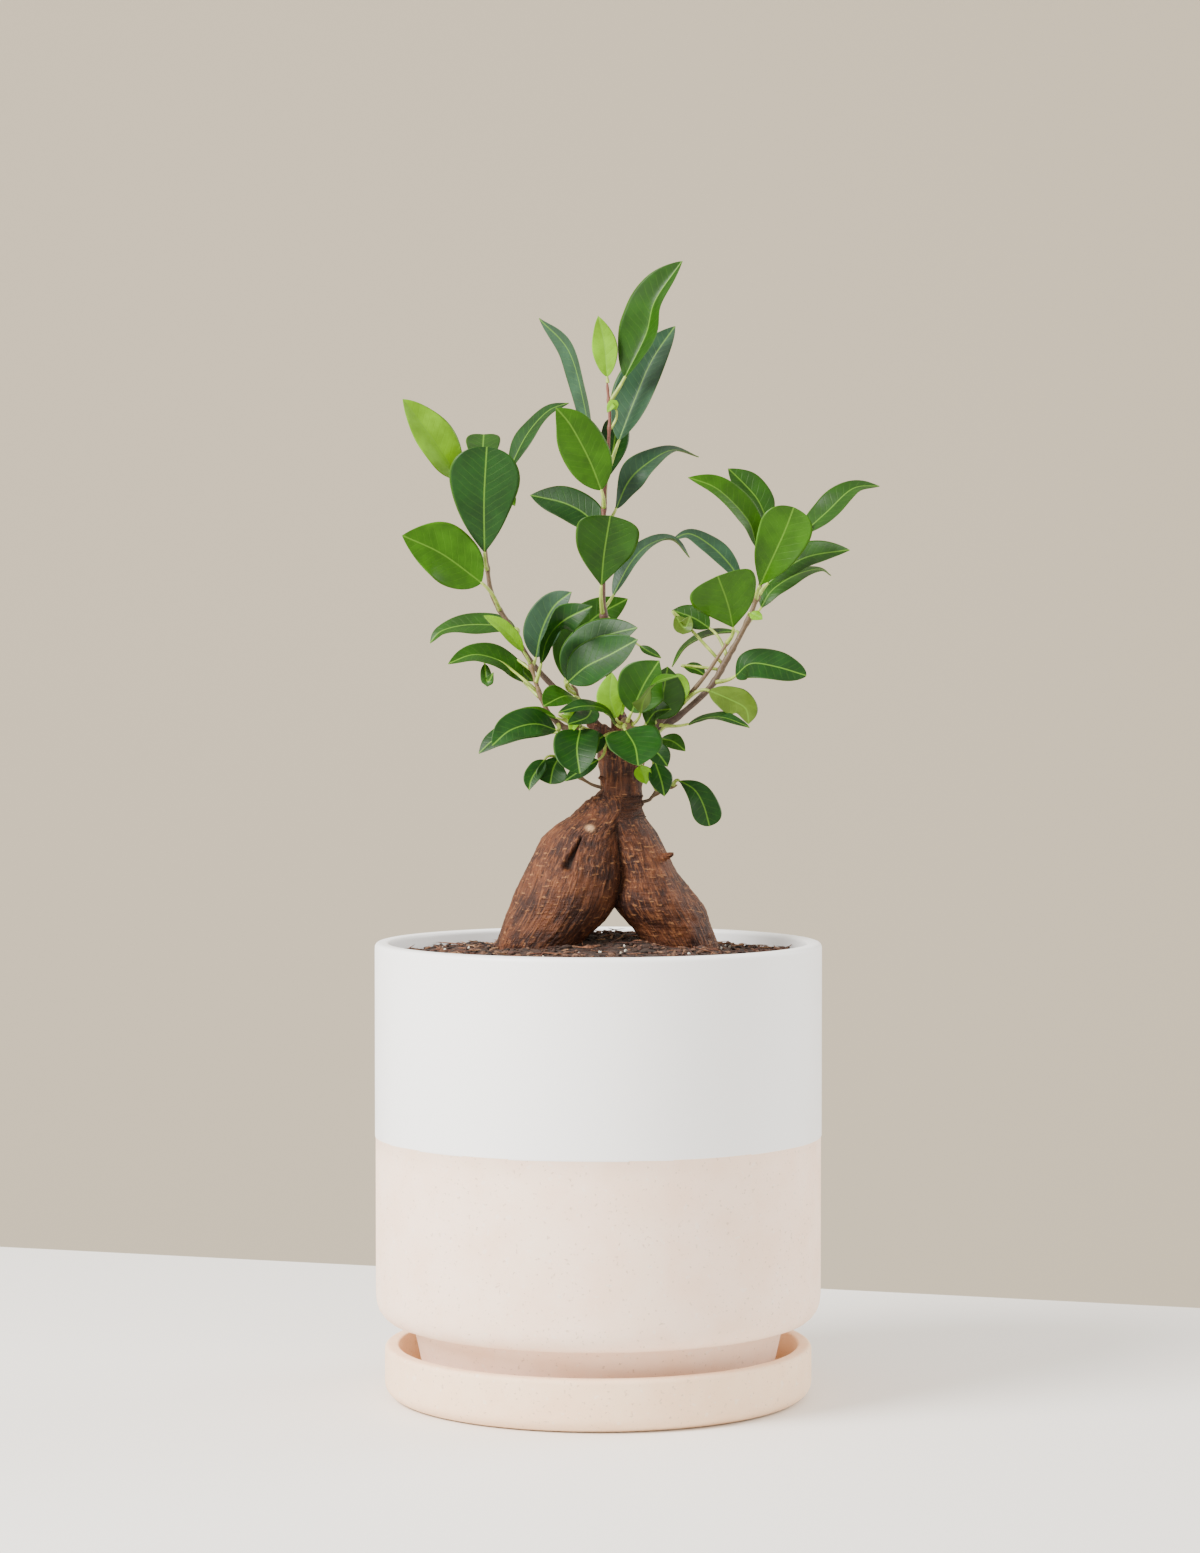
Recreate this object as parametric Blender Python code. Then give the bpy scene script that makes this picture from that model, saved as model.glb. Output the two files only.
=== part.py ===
"""Small ginseng ficus bonsai in a two-tone cylinder pot on a round saucer.

Frame: metres, +Z up, origin at the centre of the saucer's underside, on the pot's axis.
The pot, saucer and soil are turned about that axis. The root trunk is two tapering legs and a
neck, joined into one piece of wood. Each shoot is a tapered tube that leaves the neck, and each
leaf is one closed blade with its petiole, set on a shoot at a chosen height.
"""

import math
from typing import NamedTuple

import bpy
import numpy as np
from mathutils import Vector

MM = 0.001
GAP = 0.3                    # clearance between pieces that meet, mm

# Pot and saucer, mm
POT_RADIUS = 75.0
POT_WALL = 5.0
POT_RIM_Z = 152.7
POT_FOOT_RADIUS = 62.5       # where the tapered foot meets the body
POT_BASE_RADIUS = 58.0
POT_SHOULDER_Z = 34.5        # where the straight wall starts to turn under
POT_FOOT_Z = 25.5
POT_FLOOR_Z = 16.0           # inside floor
POT_RECESS = 2.0             # hollow under the base
DRAIN_RADIUS = 6.0
SAUCER_RADIUS = 71.8
SAUCER_WALL = 4.8
SAUCER_TOP_Z = 17.5
SAUCER_FLOOR_Z = 6.0
SAUCER_BASE_RADIUS = 67.0
ROUND_SIDES = 48

# Soil, mm
SOIL_WALL_Z = 147.9
SOIL_MOUND_Z = 151.6
SOIL_SIDES = 32

# Root trunk: horizontal oval sections as (height, x, y, half width, half depth), mm
LEFT_LEG = [
    (130.0, -27.0, -3.0, 5.0, 5.0),
    (138.0, -25.0, -3.0, 10.5, 9.5),
    (151.0, -20.7, -3.0, 13.9, 13.0),
    (158.0, -16.0, -2.5, 16.3, 14.5),
    (165.0, -12.0, -2.0, 17.3, 15.0),
    (174.5, -9.0, -1.5, 16.6, 14.5),
    (182.0, -7.2, -1.0, 15.0, 12.8),
    (189.0, -4.6, -0.6, 13.0, 11.0),
    (196.0, 1.6, -0.3, 9.6, 9.0),
    (203.0, 6.4, 0.0, 6.4, 6.8),
]
RIGHT_LEG = [
    (130.0, 33.0, 2.0, 5.0, 5.0),
    (138.0, 31.5, 2.0, 9.5, 9.0),
    (151.0, 28.2, 1.5, 12.5, 12.0),
    (158.0, 24.6, 1.2, 13.5, 13.0),
    (165.0, 20.2, 1.0, 15.0, 13.4),
    (174.5, 17.2, 0.8, 10.4, 12.0),
    (182.0, 14.6, 0.5, 9.2, 10.8),
    (189.0, 12.0, 0.3, 8.0, 9.6),
    (196.0, 8.8, 0.2, 6.4, 8.0),
    (203.0, 8.2, 0.0, 6.1, 6.9),
]
NECK = [
    (191.0, 6.6, 0.0, 7.0, 7.4),
    (197.0, 6.9, 0.0, 7.9, 8.0),
    (203.0, 7.5, 0.0, 7.0, 7.1),
    (210.0, 7.4, 0.0, 6.9, 7.0),
    (216.0, 7.4, 0.0, 7.6, 7.6),
    (218.7, 7.4, 0.0, 6.6, 6.6),
]
TRUNK_SIDES = 20

# Shoots: radius at the foot and at the tip, then the route, mm
SHOOTS = {
    "shoot_left": (1.25, 0.55, [
        (3.4, 2.9, 219.6), (2.9, 3.0, 221.4), (-6, 3, 230), (-13.8, 2, 237), (-22.5, 2, 246.6),
        (-28.6, 2, 257), (-35.2, 3, 268), (-37.6, 4, 279), (-38.6, 5, 291), (-38.4, 5, 300)]),
    "shoot_left_front": (1.15, 0.5, [
        (3.0, -1.6, 219.3), (2.4, -1.8, 221.0), (-3.0, -3, 222.6), (-10, -4.5, 224), (-15.5, -5, 228),
        (-19.0, -5, 234), (-21.2, -4.6, 241), (-23.0, -3.6, 247)]),
    "shoot_middle": (0.9, 0.5, [
        (6.2, -0.6, 219.2), (5.6, -0.6, 221), (-1, -1, 227), (-6.4, -1, 233.6), (-9, -1, 239)]),
    "shoot_centre": (1.4, 0.45, [
        (8.2, 3.4, 219.2), (7.4, 3.4, 225), (3.6, 2, 242), (1.6, 0.5, 262), (1.6, 0, 280),
        (2.2, 0, 300), (3.2, 0, 316), (4.0, 0, 329), (3.2, 0, 340)]),
    "shoot_front": (1.1, 0.6, [
        (8.4, -4.6, 219.2), (8.4, -4.9, 220.8), (8.8, -8, 223), (9.2, -13, 225.4), (9.4, -17, 226.6)]),
    "shoot_right": (1.3, 0.6, [
        (12.2, 2.2, 219.3), (12.6, 2.1, 221.0), (17, 1.6, 223.4),
        (24.4, 1, 226.6), (30.2, 1, 231), (38.4, 2, 239),
        (43.0, 3, 247), (49.6, 3, 259), (53.0, 3, 267), (55.4, 3, 276), (57.0, 2, 288)]),
    "shoot_right_front": (1.15, 0.5, [
        (12.0, -2.6, 219.3), (12.4, -2.8, 221.0), (16, -3.6, 224), (22, -4, 227.6), (29.0, -4, 234),
        (35.8, -4, 242), (40.2, -3.6, 248.4), (44.6, -3, 255.4)]),
    "twig_left": (0.6, 0.4, [
        (-0.6, -2.0, 205.0), (-4.0, -3, 206.6), (-7.6, -4, 209)]),
    "twig_right": (0.6, 0.4, [
        (16.4, -1.0, 200.0), (18.2, -1.4, 201.4), (21.0, -2, 203.6), (26.4, -3, 205.4)]),
}
SHOOT_POINTS = 3             # points read from the smooth curve between two route points
SPINE_POINTS = 12


class Leaf(NamedTuple):
    """One leaf. Lengths in mm, angles in degrees.

    spine runs along the midrib from the blade's foot to its tip. facing is the direction that the
    upper side looks in, as (turn, lift): turn 0 is the front and 90 the right, lift 90 is up.
    A twisted blade looks in tip_facing at its tip. fold lifts the margins about the midrib.
    """

    shoot: str
    height: float            # of the point on the shoot that the petiole leaves
    spine: list
    width: float
    facing: tuple
    tip_facing: tuple = None
    fold: float = 8.0
    shape: str = "oval"


LEAVES = {
    "leaf_left_1": Leaf("shoot_left", 299, [(-47, 2, 308), (-54, -3, 319), (-65, -8, 334)],
        16.5, (32, 10), fold=24),
    "leaf_left_2": Leaf("shoot_left", 299, [(-38, 7, 309), (-39, 12, 317), (-39, 22, 324)],
        12, (0, 35), shape="blunt"),
    "leaf_left_3": Leaf("shoot_left", 278, [(-38, -4, 283), (-38, -8, 301), (-37, -11, 318)],
        23.5, (-5, 5), shape="blunt"),
    "leaf_left_4": Leaf("shoot_left", 264,
        [(-39, -6, 273), (-52, -10, 282.5), (-65, -14, 288.5)],
        21, (0, 24), fold=8),
    "leaf_left_5": Leaf("shoot_left", 298, [(-30, 5, 311), (-24, 7, 323), (-17, 9, 331), (-10, 11, 334)],
        11, (-50, 30), fold=10),
    "leaf_left_6": Leaf("shoot_left", 255,
        [(-28, 7, 258), (-35, 10, 259), (-45, 12, 259), (-53, 13, 257), (-57, 13, 253)],
        11, (-20, 40), tip_facing=(0, 60)),
    "leaf_left_7": Leaf("shoot_left_front", 246, [(-25, -6, 250), (-31, -8, 257), (-38, -10, 262)],
        7, (40, 25), fold=15),
    "leaf_left_8": Leaf("shoot_left_front", 235,
        [(-25, -2, 240), (-31, -3, 246), (-41, -5, 249), (-50, -8, 246)],
        11, (0, 50)),
    "leaf_top_1": Leaf("shoot_centre", 334, [(9, 0, 342), (16, -2, 356), (19, -4, 367), (28, -6, 380)],
        20, (-42, 10), fold=32),
    "leaf_top_2": Leaf("shoot_centre", 340, [(3, 0, 342), (2, -1, 353), (0, -3, 362)],
        8.5, (0, 0), fold=10),
    "leaf_top_3": Leaf("shoot_centre", 309, [(7, 4, 321), (12, 7, 334), (18, 10, 348), (26, 13, 360)],
        17, (-30, 5), fold=20),
    "leaf_top_4": Leaf("shoot_centre", 314, [(-2, 7, 317), (-5, 10, 335), (-10, 14, 352), (-20, 17, 363)],
        12, (-68, 8)),
    "leaf_top_5": Leaf("shoot_centre", 298, [(1, -3, 304), (-3, -5, 314), (-9, -8, 325), (-14, -10, 331)],
        16.5, (5, 5)),
    "leaf_top_6": Leaf("shoot_centre", 285, [(0, 4, 288), (-3, 6, 295), (-11, 9, 300), (-23, 13, 303)],
        12.5, (-5, 20)),
    "leaf_top_7": Leaf("shoot_centre", 262, [(1, -6, 272), (2, -10, 283), (4, -16, 295)],
        22, (5, 12), shape="wedge"),
    "leaf_top_8": Leaf("shoot_centre", 292,
        [(6, 3, 298), (10, 5, 307), (16, 7, 313), (25, 10, 318), (34, 13, 316)],
        10, (60, 30), tip_facing=(0, 80)),
    "leaf_top_9": Leaf("shoot_centre", 264,
        [(5, 4, 269), (11, 7, 280), (17, 10, 286), (25, 13, 288), (31, 14, 282)],
        9, (0, 75)),
    "leaf_middle_1": Leaf("shoot_left_front", 245,
        [(-21, 1, 248), (-19, 1, 257), (-15, 0, 265), (-9, -2, 270)],
        13, (0, 20)),
    "leaf_middle_2": Leaf("shoot_left_front", 240,
        [(-19, -9, 246), (-17, -11, 254), (-12, -14, 260), (-2, -17, 265)],
        12, (60, 25)),
    "leaf_middle_3": Leaf("shoot_middle", 238, [(-11, 4, 241), (-8, 8, 252), (-2, 12, 261), (10, 15, 268)],
        16, (10, 30)),
    "leaf_middle_4": Leaf("shoot_middle", 236,
        [(-10, -8, 240), (-4, -12, 245), (4, -16, 249), (13, -20, 254)],
        16, (5, 28)),
    "leaf_middle_5": Leaf("shoot_middle", 233, [(-8, -7, 235), (-12, -12, 235), (-18, -18, 232)],
        12, (0, 50)),
    "leaf_middle_6": Leaf("shoot_middle", 237, [(-10, -3, 240), (-6, -5, 249), (2, -8, 255), (13, -12, 258)],
        15, (0, 25)),
    "leaf_low_1": Leaf("shoot_front", 226, [(6, -20, 226), (2, -23, 231), (-5, -27, 232), (-13, -31, 230)],
        10, (0, 65)),
    "leaf_low_2": Leaf("shoot_left_front", 226,
        [(-14, -10, 224), (-21, -14, 226), (-29, -19, 224), (-35, -22, 219)],
        13, (0, 40)),
    "leaf_low_3": Leaf("shoot_left_front", 224,
        [(-15, -1, 223), (-24, -1, 224), (-34, -2, 221), (-40, -3, 216)],
        11, (0, 50)),
    "leaf_low_4": Leaf("shoot_left_front", 223, [(-6, -15, 224), (-7, -23, 218), (-6, -29, 210)],
        16, (-10, 30), shape="heart"),
    "leaf_low_5": Leaf("twig_left", 209, [(-13, -7, 215), (-15, -9, 211), (-16, -11, 206)],
        10.5, (0, 20), shape="blunt"),
    "leaf_low_6": Leaf("shoot_front", 226, [(6, -18, 228), (4, -19, 235), (4.6, -20.5, 243)],
        9, (-10, 15)),
    "leaf_low_7": Leaf("shoot_front", 226, [(11, -20, 230), (15, -22, 239), (20, -27, 247)],
        17, (5, 25)),
    "leaf_low_8": Leaf("shoot_front", 225, [(14, -24, 230), (15, -30, 235), (19, -35, 240), (26, -40, 242)],
        9, (0, 60)),
    "leaf_low_9": Leaf("shoot_right_front", 226, [(18, -9, 228), (21, -12, 234), (23, -17, 245)],
        15, (10, 15)),
    "leaf_low_10": Leaf("shoot_front", 226, [(9, -25, 224), (12, -34, 219), (13, -42, 213)],
        19, (0, 45), shape="heart"),
    "leaf_low_11": Leaf("twig_right", 205, [(27, -5, 207), (32, -8, 204), (35, -10, 199), (37, -12, 192)],
        11, (20, 20), shape="blunt"),
    "leaf_right_1": Leaf("shoot_right", 268, [(54, -3, 272), (58, -7, 281), (62, -9, 290), (65, -11, 298)],
        18, (5, 8), shape="blunt"),
    "leaf_right_2": Leaf("shoot_right", 276, [(53, -2, 285), (50, -3, 294), (40, -6, 304), (30, -8, 308)],
        11, (30, 25), fold=15),
    "leaf_right_3": Leaf("shoot_right", 285, [(57, 8, 294), (54, 10, 301), (50, 12, 306), (44, 14, 312)],
        12, (20, 15), fold=22),
    "leaf_right_4": Leaf("shoot_right", 283, [(68, 6, 289), (77, 8, 297), (86, 10, 305), (95, 11, 306)],
        12, (0, 60)),
    "leaf_right_5": Leaf("shoot_right", 269, [(57, 1, 273), (63, 0, 278), (71, -1, 282), (84, -4, 284)],
        12, (0, 42)),
    "leaf_right_6": Leaf("shoot_right", 260,
        [(55, 9, 265), (59, 11, 271), (67, 13, 276), (75, 15, 278), (79, 16, 276)],
        10, (-15, 40), tip_facing=(0, 75)),
    "leaf_right_7": Leaf("shoot_right", 268,
        [(48, 9, 274), (44, 11, 280), (38, 14, 286), (31, 17, 290), (25, 19, 288)],
        8, (0, 45)),
    "leaf_right_8": Leaf("shoot_right_front", 253, [(45, -8, 258), (43, -13, 266), (39.5, -19, 275)],
        24, (-5, 15), shape="wedge"),
    "leaf_right_9": Leaf("shoot_right", 248, [(37.5, 7, 258), (32, 8.5, 261.5), (25, 11, 264)],
        9, (0, 30), fold=4),
    "leaf_right_10": Leaf("shoot_right", 251, [(46, 9, 257), (38, 11, 256), (30, 14, 252), (25, 16, 245)],
        8, (0, 70)),
    "leaf_right_11": Leaf("shoot_right", 240, [(46, -4, 242), (51, -8, 246), (59, -12, 245), (69, -15, 242)],
        14, (0, 40), shape="heart"),
    "leaf_right_12": Leaf("shoot_right_front", 233,
        [(37, -7, 237), (44, -9, 234), (49, -11, 231), (50, -13, 226)],
        12, (10, 40)),
    "leaf_right_13": Leaf("shoot_right_front", 226,
        [(30, -10, 226), (36, -12, 228), (42, -16, 228), (50, -20, 225)],
        8, (0, 68)),
}
BLADE_SHAPES = {             # exponents of the half width towards the foot and towards the tip
    "oval": (0.70, 0.72),
    "blunt": (1.0, 0.42),
    "heart": (0.52, 0.62),
    "wedge": (1.0, 0.30),
}
LEAF_SECTIONS = 8
LEAF_THICKNESS = 0.8         # at the midrib, mm
LEAF_END = 0.25              # half width left at the blade's foot and tip, mm
PETIOLE_RADIUS = 0.55
PETIOLE_SECTIONS = 3
TIP_LEAF = 0.15              # below this share of sideways growth a leaf ends its shoot

# Colours are linear RGB
GLAZE = (0.84, 0.84, 0.84)
CLAY = (0.80, 0.69, 0.59)
SOIL = (0.045, 0.028, 0.018)
BARK = (0.16, 0.065, 0.032)
SHOOT_BARK = (0.12, 0.065, 0.04)
LEAF_GREEN = (0.06, 0.17, 0.02)


def material(name, colour, roughness):
    """A plain Principled material."""
    made = bpy.data.materials.new(name)
    made.use_nodes = True
    shader = made.node_tree.nodes["Principled BSDF"]
    shader.inputs["Base Color"].default_value = (*colour, 1.0)
    shader.inputs["Roughness"].default_value = roughness
    shader.inputs["Metallic"].default_value = 0.0
    return made


def add_mesh(name, points, faces, finish, edges=()):
    """A mesh object from points in mm."""
    mesh = bpy.data.meshes.new(name)
    mesh.from_pydata([Vector(p) * MM for p in points], edges, faces)
    mesh.shade_smooth()
    piece = bpy.data.objects.new(name, mesh)
    bpy.context.collection.objects.link(piece)
    mesh.materials.append(finish)
    return piece


def hide_cutter(piece):
    """Mark a helper solid that only shapes another piece."""
    piece.hide_render = True
    piece.display_type = "WIRE"


def combine(piece, other, operation):
    """Cut or join piece with a helper solid, which stays as a hidden guide."""
    boolean = piece.modifiers.new(operation.title(), "BOOLEAN")
    boolean.operation = operation
    boolean.solver = "EXACT"
    boolean.object = other
    hide_cutter(other)


def turned(name, profile, finish, sides, closed=False):
    """A solid turned about Z from (radius, height) points that run down its outer side."""
    points = [(radius, 0.0, height) for radius, height in profile]
    edges = [(i, i + 1) for i in range(len(points) - 1)]
    if closed:
        edges.append((len(points) - 1, 0))
    piece = add_mesh(name, points, [], finish, edges)
    screw = piece.modifiers.new("Turn", "SCREW")
    screw.axis = "Z"
    screw.steps = sides
    screw.render_steps = sides
    screw.use_merge_vertices = True
    screw.merge_threshold = 0.00001
    screw.use_smooth_shade = True
    return piece


def corner(centre, radius, start, end, steps=3):
    """Points of a round corner in the profile, angles in degrees from +R towards +Z."""
    angles = np.radians(np.linspace(start, end, steps + 1))
    return [(centre[0] + radius * math.cos(a), centre[1] + radius * math.sin(a)) for a in angles]


def loft(name, rings, finish):
    """A closed solid through rings of equal point counts, in order, with flat ends."""
    count = len(rings[0])
    points = [tuple(p) for ring in rings for p in ring]
    faces = []
    for row in range(len(rings) - 1):
        low, high = row * count, (row + 1) * count
        for i in range(count):
            j = (i + 1) % count
            faces.append((low + i, low + j, high + j, high + i))
    faces.append(tuple(reversed(range(count))))
    faces.append(tuple(range((len(rings) - 1) * count, len(rings) * count)))
    return add_mesh(name, points, faces, finish)


def oval_rings(sections, grow=0.0):
    """Horizontal ovals for a loft up the root trunk, enlarged by grow for a cutter."""
    angles = np.linspace(0.0, 2.0 * math.pi, TRUNK_SIDES, endpoint=False)
    rings = []
    for height, x, y, half_width, half_depth in sections:
        ring = np.stack([
            x + (half_width + grow) * np.cos(angles),
            y + (half_depth + grow) * np.sin(angles),
            np.full(TRUNK_SIDES, height)], axis=1)
        rings.append(ring)
    return rings


def smooth_path(route, per_span):
    """Points of the Catmull-Rom curve through the route."""
    knots = np.array(route, dtype=float)
    padded = np.vstack([2 * knots[0] - knots[1], knots, 2 * knots[-1] - knots[-2]])
    steps = np.linspace(0.0, 1.0, per_span, endpoint=False)[:, None]
    spans = []
    for i in range(len(knots) - 1):
        a, b, c, d = padded[i:i + 4]
        spans.append(0.5 * (2 * b + (c - a) * steps + (2 * a - 5 * b + 4 * c - d) * steps ** 2
                            + (3 * b - a - 3 * c + d) * steps ** 3))
    spans.append(knots[-1:])
    return np.vstack(spans)


def shoot(name, foot_radius, tip_radius, route, finish):
    """A tapered round tube along a smooth route."""
    path = smooth_path(route, SHOOT_POINTS)
    curve = bpy.data.curves.new(name, "CURVE")
    curve.dimensions = "3D"
    curve.bevel_depth = MM
    curve.bevel_resolution = 1
    curve.use_fill_caps = True
    spline = curve.splines.new("POLY")
    spline.points.add(len(path) - 1)
    radii = np.linspace(foot_radius, tip_radius, len(path))
    for point, place, radius in zip(spline.points, path, radii):
        point.co = (*(Vector(place) * MM), 1.0)
        point.radius = radius
    curve.materials.append(finish)
    piece = bpy.data.objects.new(name, curve)
    bpy.context.collection.objects.link(piece)


def point_on_shoot(name, height):
    """The middle, direction and radius of a shoot at a height above the ground."""
    foot_radius, tip_radius, route = SHOOTS[name]
    path = smooth_path(route, SHOOT_POINTS)
    radii = np.linspace(foot_radius, tip_radius, len(path))
    after = min(max(int(np.searchsorted(path[:, 2], height)), 1), len(path) - 1)
    before = after - 1
    share = (height - path[before, 2]) / (path[after, 2] - path[before, 2])
    middle = path[before] + share * (path[after] - path[before])
    return middle, unit(path[after] - path[before]), radii[before]


def unit(vector):
    """The vector at length 1."""
    return vector / np.linalg.norm(vector)


def even_path(route, count):
    """Points at even spacing along the smooth curve through the route."""
    path = smooth_path(route, SPINE_POINTS)
    run = np.concatenate([[0.0], np.cumsum(np.linalg.norm(np.diff(path, axis=0), axis=1))])
    marks = np.linspace(0.0, run[-1], count)
    return np.stack([np.interp(marks, run, path[:, axis]) for axis in range(3)], axis=1)


def direction(turn, lift):
    """The unit vector that looks in a direction given in degrees."""
    turn, lift = math.radians(turn), math.radians(lift)
    return np.array([math.sin(turn) * math.cos(lift), -math.cos(turn) * math.cos(lift), math.sin(lift)])


def blade_half_width(share, width, shape):
    """Half the blade's width at a share of its length: two powers, scaled to their peak."""
    foot_power, tip_power = BLADE_SHAPES[shape]
    peak = foot_power / (foot_power + tip_power)
    top = peak ** foot_power * (1 - peak) ** tip_power
    return max(LEAF_END, 0.5 * width * share ** foot_power * (1 - share) ** tip_power / top)


def blade_rings(values):
    """Rings of four points along the blade: margin, midrib top, other margin, midrib back."""
    spine = even_path(values.spine, LEAF_SECTIONS)
    tangents = np.gradient(spine, axis=0)
    first = direction(*values.facing)
    last = direction(*(values.tip_facing or values.facing))
    fold = math.radians(values.fold)
    rings = []
    for place, tangent, share in zip(spine, tangents, np.linspace(0.0, 1.0, LEAF_SECTIONS)):
        along = unit(tangent)
        look = first + share * (last - first)
        up = unit(look - along * look.dot(along))
        side = np.cross(up, along)
        half = blade_half_width(share, values.width, values.shape)
        out = side * half * math.cos(fold)
        raised = up * half * math.sin(fold)
        thick = up * 0.5 * LEAF_THICKNESS * (1 - 0.6 * share)
        rings.append([place + out + raised, place + thick, place - out + raised, place - thick])
    return rings


def petiole_rings(values, foot, along, side):
    """Rings of four points from the shoot's skin to the blade's foot, on a bend of two tangents."""
    middle, growth, radius = point_on_shoot(values.shoot, values.height)
    away = unit(foot - middle)
    sideways = away - growth * away.dot(growth)
    if np.linalg.norm(sideways) > TIP_LEAF:
        away = unit(sideways)
    start = middle + away * (radius + GAP + PETIOLE_RADIUS)
    bend = foot - along * np.linalg.norm(foot - start) * 0.4
    heading, across = Vector(along), Vector(side)
    rings = []
    for s in np.linspace(1.0, 0.0, PETIOLE_SECTIONS + 1)[1:]:
        centre = (1 - s) ** 2 * start + 2 * s * (1 - s) * bend + s ** 2 * foot
        onward = Vector((1 - s) * (bend - start) + s * (foot - bend)).normalized()
        across.rotate(heading.rotation_difference(onward))
        heading = onward
        out = np.array(across) * PETIOLE_RADIUS
        over = np.array(heading.cross(across)) * PETIOLE_RADIUS
        rings.insert(0, [centre + out, centre + over, centre - out, centre - over])
    return rings


def leaf(name, values, finish):
    """A blade with its petiole, one closed solid."""
    blade = blade_rings(values)
    foot = np.mean([blade[0][1], blade[0][3]], axis=0)
    after = np.mean([blade[1][1], blade[1][3]], axis=0)
    side = unit(blade[0][0] - blade[0][2])
    along = unit(after - foot)
    along = unit(along - side * along.dot(side))
    loft(name, petiole_rings(values, foot, along, side) + blade, finish)


def build_saucer():
    """A shallow round dish with a rounded lower edge."""
    inner = SAUCER_RADIUS - SAUCER_WALL
    profile = [(0.0, SAUCER_FLOOR_Z), (inner - 1.0, SAUCER_FLOOR_Z), (inner, SAUCER_FLOOR_Z + 1.0)]
    profile += [(inner, SAUCER_TOP_Z - 1.0), (inner + 0.9, SAUCER_TOP_Z)]
    profile += corner((SAUCER_RADIUS - 1.5, SAUCER_TOP_Z - 1.5), 1.5, 90, 0, 2)
    profile += [(SAUCER_RADIUS, 7.5), (SAUCER_RADIUS - 1.2, 3.4), (SAUCER_BASE_RADIUS, 0.0), (0.0, 0.0)]
    turned("saucer", profile, material("fired clay, saucer", CLAY, 0.85), ROUND_SIDES)


def build_pot():
    """A straight cylinder that turns under to a tapered foot, with a drain hole."""
    inner = POT_RADIUS - POT_WALL
    base_z = SAUCER_FLOOR_Z + GAP
    profile = [(DRAIN_RADIUS, POT_FLOOR_Z), (POT_BASE_RADIUS - 6.0, POT_FLOOR_Z)]
    profile += [(POT_BASE_RADIUS, POT_FOOT_Z + 4.5), (inner - 3.0, POT_SHOULDER_Z)]
    profile += [(inner, POT_SHOULDER_Z + 6.0)]
    profile += corner((inner + 1.4, POT_RIM_Z - 1.4), 1.4, 180, 90, 2)
    profile += corner((POT_RADIUS - 1.8, POT_RIM_Z - 1.8), 1.8, 90, 0, 2)
    profile += corner((POT_RADIUS - 9.0, POT_SHOULDER_Z), 9.0, 0, -90, 4)
    profile += [(POT_FOOT_RADIUS, POT_FOOT_Z), (POT_BASE_RADIUS + 0.8, base_z + 1.0), (POT_BASE_RADIUS, base_z)]
    profile += [(POT_BASE_RADIUS - 8.0, base_z), (POT_BASE_RADIUS - 10.0, base_z + POT_RECESS)]
    profile += [(DRAIN_RADIUS, base_z + POT_RECESS)]
    turned("pot", profile, material("glazed and bare clay, pot", GLAZE, 0.5), ROUND_SIDES, closed=True)


def build_soil():
    """The plug of soil inside the pot, mounded to the middle, with sockets for the two roots."""
    inner = POT_RADIUS - POT_WALL - GAP
    profile = [(0.0, SOIL_MOUND_Z), (24.0, SOIL_MOUND_Z - 0.6), (48.0, SOIL_WALL_Z + 1.4)]
    profile += [(inner, SOIL_WALL_Z), (inner, POT_SHOULDER_Z + 6.5), (inner - 3.2, POT_SHOULDER_Z + 0.6)]
    profile += [(POT_BASE_RADIUS - 0.6, POT_FOOT_Z + 5.2), (POT_BASE_RADIUS - 7.0, POT_FLOOR_Z + GAP)]
    profile += [(0.0, POT_FLOOR_Z + GAP)]
    finish = material("potting soil", SOIL, 0.95)
    soil = turned("soil", profile, finish, SOIL_SIDES)
    for name, sections in (("left", LEFT_LEG), ("right", RIGHT_LEG)):
        rings = oval_rings(sections[:5], GAP)
        rings[0][:, 2] -= GAP
        socket = loft(f"socket_{name}", rings, finish)
        combine(soil, socket, "DIFFERENCE")


def build_root_trunk():
    """Two swollen roots that meet in a short neck, one piece of wood."""
    finish = material("ficus bark", BARK, 0.8)
    trunk = loft("root_trunk", oval_rings(LEFT_LEG), finish)
    combine(trunk, loft("right_leg", oval_rings(RIGHT_LEG), finish), "UNION")
    combine(trunk, loft("neck", oval_rings(NECK), finish), "UNION")


def build_plant():
    """Shoots from the neck and the leaves on them."""
    bark = material("green-brown shoot bark", SHOOT_BARK, 0.7)
    green = material("leaf", LEAF_GREEN, 0.4)
    for name, (foot_radius, tip_radius, route) in SHOOTS.items():
        shoot(name, foot_radius, tip_radius, route, bark)
    for name, values in LEAVES.items():
        leaf(name, values, green)


def main():
    for old in list(bpy.data.objects):
        bpy.data.objects.remove(old, do_unlink=True)
    build_saucer()
    build_pot()
    build_soil()
    build_root_trunk()
    build_plant()


main()
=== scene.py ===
"""Small ginseng ficus bonsai in a two-tone cylinder pot on a round saucer: the visual model.

Every piece is a surface over two parameters, written in mm in the frame of the CAD part: +Z up,
origin at the centre of the saucer's underside, on the pot's axis.
"""

import math
from typing import NamedTuple

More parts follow.
